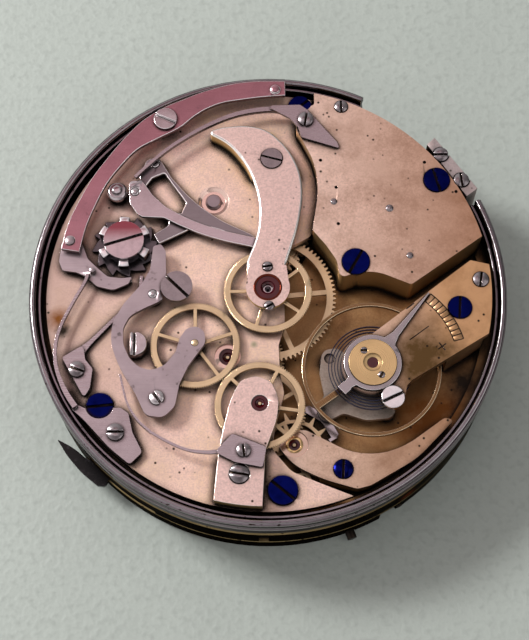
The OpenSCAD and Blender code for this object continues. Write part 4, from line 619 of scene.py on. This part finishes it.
class MOVEMENT_OT_plates(bpy.types.Operator):
    """Gild the plates, the balance cock and the two bridges beside the balance"""
    bl_idname = "movement.plates"
    bl_label = "Plates and bridges"

    def execute(self, context):
        look = context.scene.movement_finishes
        width = context.scene.movement_sizes.plate_bevel
        balance, barrel = middle("balance_wheel"), middle("barrel_arbor")
        third, escape = middle("third_wheel"), middle("escape_wheel")
        plate_top, bridge_top, cock_top = (
            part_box(node)[1].z for node in ("chronograph_plate", "escape_bridge", "balance_cock"))
        rust, rust_core, scratch = at(-19.3, -2.2, 8.5), at(-18.8, -3.3, 8.5), at(-1.3, -4.9, 8.5)
        # The tone that grows across each gilded piece along x is painted shade.
        rose = frosted_gilding(
            look, "rose_frosted_gilding", look.gilding[:], tarnish=0.15, patch=linear("#f7d7ab"),
            shaded_across=(-7 * MM, -23 * MM, linear("#a58a80")),
            stains=((rust, 1.4 * MM, look.stain[:]), (rust_core, 0.9 * MM, look.grime_and_shade[:]),
                    (scratch, 0.45 * MM, linear("#a39a80"))),
            sinks=((third, 1.19 * MM, plate_top - 0.25 * MM, 0.06 * MM),
                   (barrel, 1.5 * MM, plate_top - 0.16 * MM, 0.15 * MM)))
        warm = frosted_gilding(
            look, "warm_frosted_gilding", look.warm_gilding[:], 0.3, 0.55,
            wall=look.wall_gilding[:], shaded_across=(2 * MM, 24 * MM, linear("#a8744f")))
        shaded_across = frosted_gilding(
            look, "shaded_frosted_gilding", linear("#e8c6b2"), 0.3, 0.55,
            wall=look.wall_gilding[:], shaded_across=(2 * MM, 16 * MM, linear("#b98f70")),
            sinks=((escape, 1.25 * MM, bridge_top - 0.2 * MM, 0.06 * MM),))
        stained = frosted_gilding(
            look, "stained_frosted_gilding", look.warm_gilding[:], 0.3, 0.45,
            shaded_across=(6 * MM, 16 * MM, linear("#cf9f74")), engraved_at=cock_top - 0.04 * MM,
            stains=((balance + at(4.6, 0.2, 1.7), 5.5 * MM, linear("#5f4526")),))
        # The near-black patch on the main plate is painted shadow under the balance and its cock;
        # the brown one is old oil.
        brown = frosted_gilding(
            look, "brown_frosted_gilding", look.brown_gilding[:], 0.35, 0.6,
            stains=((balance + at(5.5, -4.5, -2.5), 6.5 * MM, look.stain[:]),
                    (balance + at(8.5, -0.5, -2.5), 2.6 * MM, look.grime_and_shade[:])))
        bright = polished_metal("polished_gilt_bevel", look.gilding[:], 0.16, 0.85)
        # The cock's softened edges, its engraved scale's too, take a darker copy of the gilding:
        # painted shade.
        dull = polished_metal("shaded_gilt_bevel", scale_colour(look.gilding[:], 0.5), 0.2, 0.7)
        edged("chronograph_plate", rose, width, bright)
        edged("large_bridge", warm, width * 1.3, bright)
        edged("escape_bridge", shaded_across, width * 1.5, bright)
        edged("balance_cock", stained, width * 1.3, dull)
        dress("main_plate", brown)
        return {"FINISHED"}


class MOVEMENT_OT_pale_bridges(bpy.types.Operator):
    """Finish the pale bridges of the chronograph works, the pallet bridge and the case fixings"""
    bl_idname = "movement.pale_bridges"
    bl_label = "Pale bridges"

    def execute(self, context):
        look = context.scene.movement_finishes
        width = context.scene.movement_sizes.plate_bevel
        pale = frosted_gilding(look, "pale_frosted_nickel", look.pale_bridge[:], 0.14,
                               wall=linear("#cdb078"))
        # The fixings are darkened below the dust ring's lowest point: painted shade.
        fixing = frosted_gilding(look, "handled_fixing_nickel", linear("#c9b8b6"), tarnish=0.3,
                                 shaded_below=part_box("dust_ring")[0].z)
        grey = frosted_gilding(look, "grey_frosted_nickel", linear("#ab9c90"), 0.25, 0.3)
        # The bevels are polished, and their whiter colour is a painted highlight.
        bright = polished_metal("polished_nickel_bevel", linear("#fff6f0"), 0.16, 0.9)
        edged("chronograph_bridge", pale, width * 2.2, bright, rim_only=True)
        edged("drive_cock", pale, width * 2.2, bright)
        edged("case_fixings", fixing, width)
        edged("pallet_bridge", grey, width)
        return {"FINISHED"}


class MOVEMENT_OT_rings(bpy.types.Operator):
    """Finish the open dust ring and the ring on the dial side"""
    bl_idname = "movement.rings"
    bl_label = "Rings"

    def execute(self, context):
        look = context.scene.movement_finishes
        # The dust ring's dark upright walls are painted shade.
        steel = handled_ring(look, "turned_ring_steel", look.ring_steel[:], linear("#3b2f33"),
                             at(12.2, -18.2, 6.6), 0.16, 0.5, 0.25 * MM)
        edge = polished_metal("polished_ring_edge", scale_colour(look.bevel_steel[:], 0.42),
                              0.12, 0.7, look.grime_and_shade[:])
        brass = handled_ring(look, "turned_old_brass", linear("#a08a62"), look.band[:],
                             at(12.6, -17.9, 3.5), 0.34, 0.1, 0.8 * MM)
        edged("dust_ring", steel, 0.06 * MM, edge)
        edged("dial_side_ring", brass, 0.1 * MM)
        return {"FINISHED"}


class MOVEMENT_OT_levers(bpy.types.Operator):
    """Grind the steel levers and the pawl, and finish the column wheel and the setting lever"""
    bl_idname = "movement.levers"
    bl_label = "Steel levers"

    def execute(self, context):
        look = context.scene.movement_finishes
        width = context.scene.movement_sizes.lever_bevel
        steel = look.steel[:]
        # The long lever's colour carries a painted rose reflection.
        rose = ground_steel(look, "ground_steel_rose_sheen", look.steel_with_rose_sheen[:], 35, rough=0.2)
        flat = ground_steel(look, "ground_lever_steel", steel, 62, 0.55)
        # The hammer's steel is a lighter copy and the brake lever's a darker copy of the same
        # steel: painted light and painted shade.
        lit_hammer_steel = ground_steel(look, "ground_hammer_steel", scale_colour(steel, 1.25),
                                -30, 0.1, 0.2)
        shaded = ground_steel(look, "ground_brake_steel", scale_colour(steel, 0.62), 70)
        worn = ground_steel(look, "ground_coupling_steel", steel, 62, 0.6, stains=(
            (at(-10.2, -8.4, 9.3), 0.75 * MM), (at(-11.0, -7.6, 9.3), 0.5 * MM)))
        # The column wheel carries a painted highlight on its tops and painted shade below.
        columns = column_steel("column_tops_highlight", look.bevel_steel[:], look.dark_steel[:],
                               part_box("column_wheel")[1].z)
        black = black_steel("blackened_setting_steel", linear("#0b090a"))
        # The lever bevels are polished, and their near-white colour is a painted highlight.
        bright = polished_metal("polished_lever_bevel", linear("#fdf3f4"), 0.14, 0.85)
        edged("operating_lever", rose, width * 1.4, bright)
        edged("coupling_lever", worn, width * 1.2, bright)
        edged("pawl", flat, width * 1.2, bright)
        edged("hammer", lit_hammer_steel, width * 1.3, bright)
        edged("brake_lever", shaded, width, bright)
        edged("column_wheel", columns, width / 2)
        edged("setting_lever", black, width)
        return {"FINISHED"}


class MOVEMENT_OT_springs(bpy.types.Operator):
    """Finish the blade springs of the chronograph works"""
    bl_idname = "movement.springs"
    bl_label = "Blade springs"

    def execute(self, context):
        look = context.scene.movement_finishes
        width = context.scene.movement_sizes.screw_bevel * 1.6
        blade = ground_steel(look, "ground_spring_steel", look.steel[:], 20, 0.4, 0.24)
        # The spring bevels are polished, and their pale colour is a painted highlight.
        bright = polished_metal("polished_spring_bevel", look.bevel_steel[:], 0.12, 0.85)
        for node in ("pawl_spring", "column_jumper", "hammer_spring", "coupling_spring"):
            edged(node, blade, width, bright)
        return {"FINISHED"}


class MOVEMENT_OT_screws(bpy.types.Operator):
    """Polish and blue the screws, the studs and the round post"""
    bl_idname = "movement.screws"
    bl_label = "Screws and studs"

    def execute(self, context):
        look = context.scene.movement_finishes
        width = context.scene.movement_sizes.screw_bevel
        grime_and_shade, steel = look.grime_and_shade[:], look.bright_steel[:]
        blued = polished_metal("heat_blued_steel", look.blued[:], 0.14, 0.5, grime_and_shade)
        # The blued bevels are polished, and their lighter blue is a painted highlight.
        blued_edge = polished_metal("heat_blued_bevel", scale_colour(look.blued[:], 2.2), 0.12)
        grey = polished_metal("polished_bridge_screw", scale_colour(steel, 0.6), 0.18, 0.8, grime_and_shade)
        head = polished_metal("polished_screw_steel", steel, 0.18, 0.8, grime_and_shade)
        worn = polished_metal("worn_lever_screw", linear("#e3d8da"), 0.2, 0.6, grime_and_shade)
        # The large screw's slot divides its grey half from the half with a painted rose reflection.
        slot = middle("column_wheel_screw").y
        large = polished_metal("polished_large_screw", linear("#cdbcc0"), 0.12, 0.8, grime_and_shade,
                               (slot - 0.2 * MM, slot + 1.2 * MM, linear("#96525c")))
        mirror = polished_metal("mirror_polished_steel", steel, 0.06, 0.9, grime_and_shade)
        # The screw bevels are polished, and their pale colour is a painted highlight.
        bright = polished_metal("polished_screw_bevel", look.bevel_steel[:], 0.1, 0.85)
        edged("blue_screws", blued, width * 1.6, blued_edge)
        edged("steel_screws", grey, width * 1.6, bright)
        edged("lever_screws", head, width * 1.6, bright)
        edged("eccentric_stop", head, width * 1.6, bright)
        edged("coupling_lever_screw", worn, width * 1.6, bright)
        edged("column_wheel_screw", large, width * 2, bright)
        edged("polished_post", mirror, width)
        return {"FINISHED"}


class MOVEMENT_OT_wheels(bpy.types.Operator):
    """Face and gild the wheels of the train and of the chronograph"""
    bl_idname = "movement.wheels"
    bl_label = "Wheels"

    def execute(self, context):
        look = context.scene.movement_finishes
        brass = look.wheel_brass[:]
        # The wheel bevels are polished, and their lighter brass is a painted highlight.
        glow = polished_metal("polished_wheel_bevel", scale_colour(brass, 1.25), 0.14)
        for node in ("chronograph_wheel", "coupling_wheel", "driving_wheel"):
            faced = turned_brass(look, "faced_brass_" + node, brass, middle(node))
            edged(node, faced, 0.05 * MM, glow)
        for node in ("centre_wheel", "third_wheel", "fourth_wheel", "escape_wheel", "barrel"):
            dress(node, turned_brass(look, "faced_brass_" + node, brass, middle(node)))
        bright = polished_metal("polished_cam_steel", look.bright_steel[:])
        dress("heart_cam", bright)
        dress("pallet_fork", bright)
        dress("chronograph_arbor", polished_metal("dark_arbor_steel", look.dark_steel[:]))
        return {"FINISHED"}


class MOVEMENT_OT_balance(bpy.types.Operator):
    """Finish the balance, its regulator and cap, and wind its flat spring"""
    bl_idname = "movement.balance"
    bl_label = "Balance"

    def execute(self, context):
        look = context.scene.movement_finishes
        sizes = context.scene.movement_sizes
        width = sizes.screw_bevel
        rim = turned_brass(look, "faced_balance_alloy", linear("#8f6c4a"),
                           middle("balance_wheel"), 0.2)
        # The rim's edges are polished, and their pale colour is a painted highlight.
        rim_edge = polished_metal("polished_balance_edge", linear("#e6cfae"), 0.14)
        staff = polished_metal("polished_staff_steel", look.bright_steel[:])
        index = ground_steel(look, "ground_regulator_steel",
                             scale_colour(look.bright_steel[:], 0.75), 51, 0.1, 0.2)
        # The regulator's bevels and the stud are polished, and their pale colour is a painted
        # highlight.
        index_edge = polished_metal("polished_regulator_bevel", look.bevel_steel[:], 0.12)
        stud = polished_metal("polished_stud_steel", look.bevel_steel[:], 0.07, 0.85,
                              look.grime_and_shade[:])
        cap = turned_brass(look, "faced_cap_brass", look.cap_brass[:], middle("endstone_cap"),
                           0.22)
        edged("balance_wheel", rim, 0.06 * MM, rim_edge)
        dress("balance_staff", staff)
        edged("regulator", index, width * 2, index_edge)
        edged("hairspring_stud", stud, width * 3)
        edged("endstone_cap", cap, width)
        self.wind_spring(sizes)
        return {"FINISHED"}

    def wind_spring(self, sizes):
        """A flat spiral of steel strip from the collet out to the stud."""
        outer = 4.0 * MM
        steps = 48
        low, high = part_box("hairspring")
        centre = middle("endstone_cap")
        stud = middle("hairspring_stud") - centre
        start = math.atan2(stud.y, stud.x)
        line = bpy.data.curves.new("hairspring_spiral", "CURVE")
        line.dimensions = "3D"
        spline = line.splines.new("POLY")
        count = sizes.spring_turns * steps
        spline.points.add(count)
        for i in range(count + 1):
            radius = sizes.spring_inner + (outer - sizes.spring_inner) * i / count
            turn = start + 2 * math.pi * i / steps
            spline.points[i].co = (centre.x + radius * math.cos(turn),
                                   centre.y + radius * math.sin(turn), (low[2] + high[2]) / 2, 1)
        line.extrude = (high[2] - low[2]) / 2
        spiral = bpy.data.objects.new("hairspring_spiral", line)
        bpy.context.scene.collection.objects.link(spiral)
        only(spiral)
        bpy.ops.object.convert(target="MESH")
        spiral = bpy.context.object
        strip = spiral.modifiers.new("strip", "SOLIDIFY")
        strip.thickness = sizes.spring_strip
        strip.offset = 0
        bpy.ops.object.modifier_apply(modifier=strip.name)
        bpy.ops.object.mode_set(mode="EDIT")
        bpy.ops.mesh.select_all(action="SELECT")
        bpy.ops.mesh.normals_make_consistent(inside=False)
        bpy.ops.object.mode_set(mode="OBJECT")
        bpy.ops.object.shade_smooth_by_angle(angle=math.radians(40))
        steel = polished_metal("tempered_hairspring_steel", linear("#34364c"), 0.2)
        spiral.data.materials.append(steel)
        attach(spiral, body_of("hairspring"))
        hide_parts("hairspring")


class MOVEMENT_OT_jewels(bpy.types.Operator):
    """Polish the jewels and burnish the gold settings that hold them"""
    bl_idname = "movement.jewels"
    bl_label = "Jewels"

    def execute(self, context):
        look = context.scene.movement_finishes
        gold = burnished_settings("burnished_setting_gold", linear("#6e2f20"),
                                  look.cap_brass[:], 2.5 * MM)
        dress("plate_jewels", cut_ruby("polished_ruby", look.ruby[:]))
        edged("jewel_settings", gold, context.scene.movement_sizes.screw_bevel)
        return {"FINISHED"}


class MOVEMENT_OT_winding(bpy.types.Operator):
    """Finish the winding works, the click and the mainspring"""
    bl_idname = "movement.winding"
    bl_label = "Winding works"

    def execute(self, context):
        look = context.scene.movement_finishes
        ground = ground_steel(look, "ground_winding_steel", look.steel[:], 15)
        for node in ("ratchet_wheel", "winding_wheel", "crown_wheel", "click", "winding_arbor",
                     "winding_pinion", "sliding_pinion"):
            dress(node, ground)
        arbor = polished_metal("polished_arbor_steel", scale_colour(look.steel[:], 0.8), 0.25)
        dress("barrel_arbor", arbor)
        dress("mainspring", polished_metal("tempered_mainspring_steel", look.ring_steel[:], 0.25))
        return {"FINISHED"}


class MOVEMENT_OT_dial_works(bpy.types.Operator):
    """Finish the wheels under the dial that carry the hands"""
    bl_idname = "movement.dial_works"
    bl_label = "Dial side works"

    def execute(self, context):
        look = context.scene.movement_finishes
        for node in ("hour_wheel", "minute_wheel"):
            dress(node, turned_brass(look, "faced_brass_" + node, look.wheel_brass[:],
                                     middle(node)))
        dress("cannon_pinion", polished_metal("polished_cannon_steel", look.bright_steel[:]))
        return {"FINISHED"}


class MOVEMENT_OT_stage(bpy.types.Operator):
    """Lay the floor, hang the lamps and place the camera"""
    bl_idname = "movement.stage"
    bl_label = "Stage"

    def execute(self, context):
        stage = context.scene.movement_stage
        self.lay_floor(stage)
        self.hang_lamps(stage)
        self.light_room(stage)
        self.aim(stage)
        context.scene.view_settings.view_transform = "Standard"
        return {"FINISHED"}

    def lay_floor(self, stage):
        """A board that the movement lies on."""
        bpy.ops.object.select_all(action="DESELECT")
        bpy.ops.mesh.primitive_grid_add(x_subdivisions=8, y_subdivisions=8, size=3.0,
                                        location=(0, 0, cad_box[0][2]))
        floor = bpy.context.object
        floor.name = "floor"
        floor.data.materials.append(matt_board("pale_matt_board", stage.floor[:]))

    def hang_lamps(self, stage):
        """Three square lamps that look at the movement."""
        for name, place, size, power in (
                ("key_lamp", (-0.28, 0.15, 0.28), 0.11, stage.key_power),
                ("over_lamp", (-0.03, 0.1, 0.42), 0.24, stage.over_power),
                ("fill_lamp", (0.32, -0.1, 0.34), 0.4, stage.fill_power)):
            bpy.ops.object.light_add(type="AREA", location=place)
            lamp = bpy.context.object
            lamp.name = name
            lamp.data.size = size
            lamp.data.energy = power
            lamp.rotation_euler = (-Vector(place)).to_track_quat("-Z", "Y").to_euler()

    def light_room(self, stage):
        """Even light from a room, and a plain backdrop where the camera looks past the floor."""
        world = bpy.data.worlds.new("even_light")
        bpy.context.scene.world = world
        world.use_nodes = True
        tree = world.node_tree
        tree.nodes.clear()
        direction = add(tree, "TexCoord").outputs["Generated"]
        parts = add(tree, "SeparateXYZ", {"Vector": direction})
        across, height = parts.outputs["X"], parts.outputs["Z"]
        # The walls are white, the room is darker below them and duller overhead.
        room = coat(tree, linear("#4d4a49"), linear("#ffffff"), height, -0.35, 0.1)
        room = coat(tree, room, linear("#8e868a"), height, 0.7, 0.97)
        # A rose-coloured curtain behind the table gives the steel at the upper left its tone.
        curtain = add(tree, "VectorMath", {"operation": "DOT_PRODUCT", 0: direction,
                                           1: (-0.12, 0.45, 0.885)})
        room = coat(tree, room, linear("#9c525b"), curtain.outputs["Value"], 0.94, 0.99)
        # The room grows dark towards the right.
        room = coat(tree, room, linear("#3d3838"), across, -0.1, 0.9)
        soft = add(tree, "Background", {"Color": room, "Strength": stage.sky})
        plain = add(tree, "Background", {"Color": stage.floor[:], "Strength": 1.0})
        seen = add(tree, "LightPath").outputs["Is Camera Ray"]
        both = add(tree, "MixShader", {0: seen, 1: soft.outputs["Background"],
                                       2: plain.outputs["Background"]})
        add(tree, "OutputWorld", {"Surface": both.outputs["Shader"]})

    def aim(self, stage):
        """Looks down at the dust ring's top at the photograph's angle."""
        # The dust ring's top lies this far below the highest piece.
        below = 1.1 * MM
        target = Vector((0, 0, cad_box[1][2] - below))
        away = Vector((0, -math.sin(stage.tilt), math.cos(stage.tilt))) * stage.distance
        bpy.ops.object.camera_add(location=target + away)
        camera = bpy.context.object
        camera.name = "photo_camera"
        turn = (-away).to_track_quat("-Z", "Y")
        turn = turn @ Euler((0, 0, -stage.roll)).to_quaternion()
        turn = turn @ Euler((-stage.offset_y, stage.offset_x, 0)).to_quaternion()
        camera.rotation_euler = turn.to_euler()
        camera.data.lens = stage.lens
        camera.data.sensor_width = 36
        camera.data.clip_start = 0.005
        camera.data.clip_end = 10
        bpy.context.scene.camera = camera


OPERATORS = (
    MOVEMENT_OT_plates,
    MOVEMENT_OT_pale_bridges,
    MOVEMENT_OT_rings,
    MOVEMENT_OT_levers,
    MOVEMENT_OT_springs,
    MOVEMENT_OT_screws,
    MOVEMENT_OT_wheels,
    MOVEMENT_OT_balance,
    MOVEMENT_OT_jewels,
    MOVEMENT_OT_winding,
    MOVEMENT_OT_dial_works,
    MOVEMENT_OT_stage,
)


class MOVEMENT_PT_panel(bpy.types.Panel):
    """Lists the steps that finish the movement"""
    bl_label = "Movement"
    bl_idname = "MOVEMENT_PT_panel"
    bl_space_type = "VIEW_3D"
    bl_region_type = "UI"
    bl_category = "Movement"

    def draw(self, context):
        for group in ("movement_finishes", "movement_sizes", "movement_stage"):
            settings = getattr(context.scene, group)
            column = self.layout.column()
            for name in settings.__annotations__:
                column.prop(settings, name)
        for operator in OPERATORS:
            self.layout.operator(operator.bl_idname)


CLASSES = (MovementFinishes, MovementSizes, MovementStage) + OPERATORS + (MOVEMENT_PT_panel,)


def register():
    for cls in CLASSES:
        bpy.utils.register_class(cls)
    bpy.types.Scene.movement_finishes = PointerProperty(type=MovementFinishes)
    bpy.types.Scene.movement_sizes = PointerProperty(type=MovementSizes)
    bpy.types.Scene.movement_stage = PointerProperty(type=MovementStage)


def unregister():
    del bpy.types.Scene.movement_stage
    del bpy.types.Scene.movement_sizes
    del bpy.types.Scene.movement_finishes
    for cls in reversed(CLASSES):
        bpy.utils.unregister_class(cls)


def main():
    register()
    for operator in OPERATORS:
        family, name = operator.bl_idname.split(".")
        result = getattr(getattr(bpy.ops, family), name)()
        if result != {"FINISHED"}:
            raise RuntimeError(operator.bl_label + " did not finish")


if __name__ == "__main__":
    main()
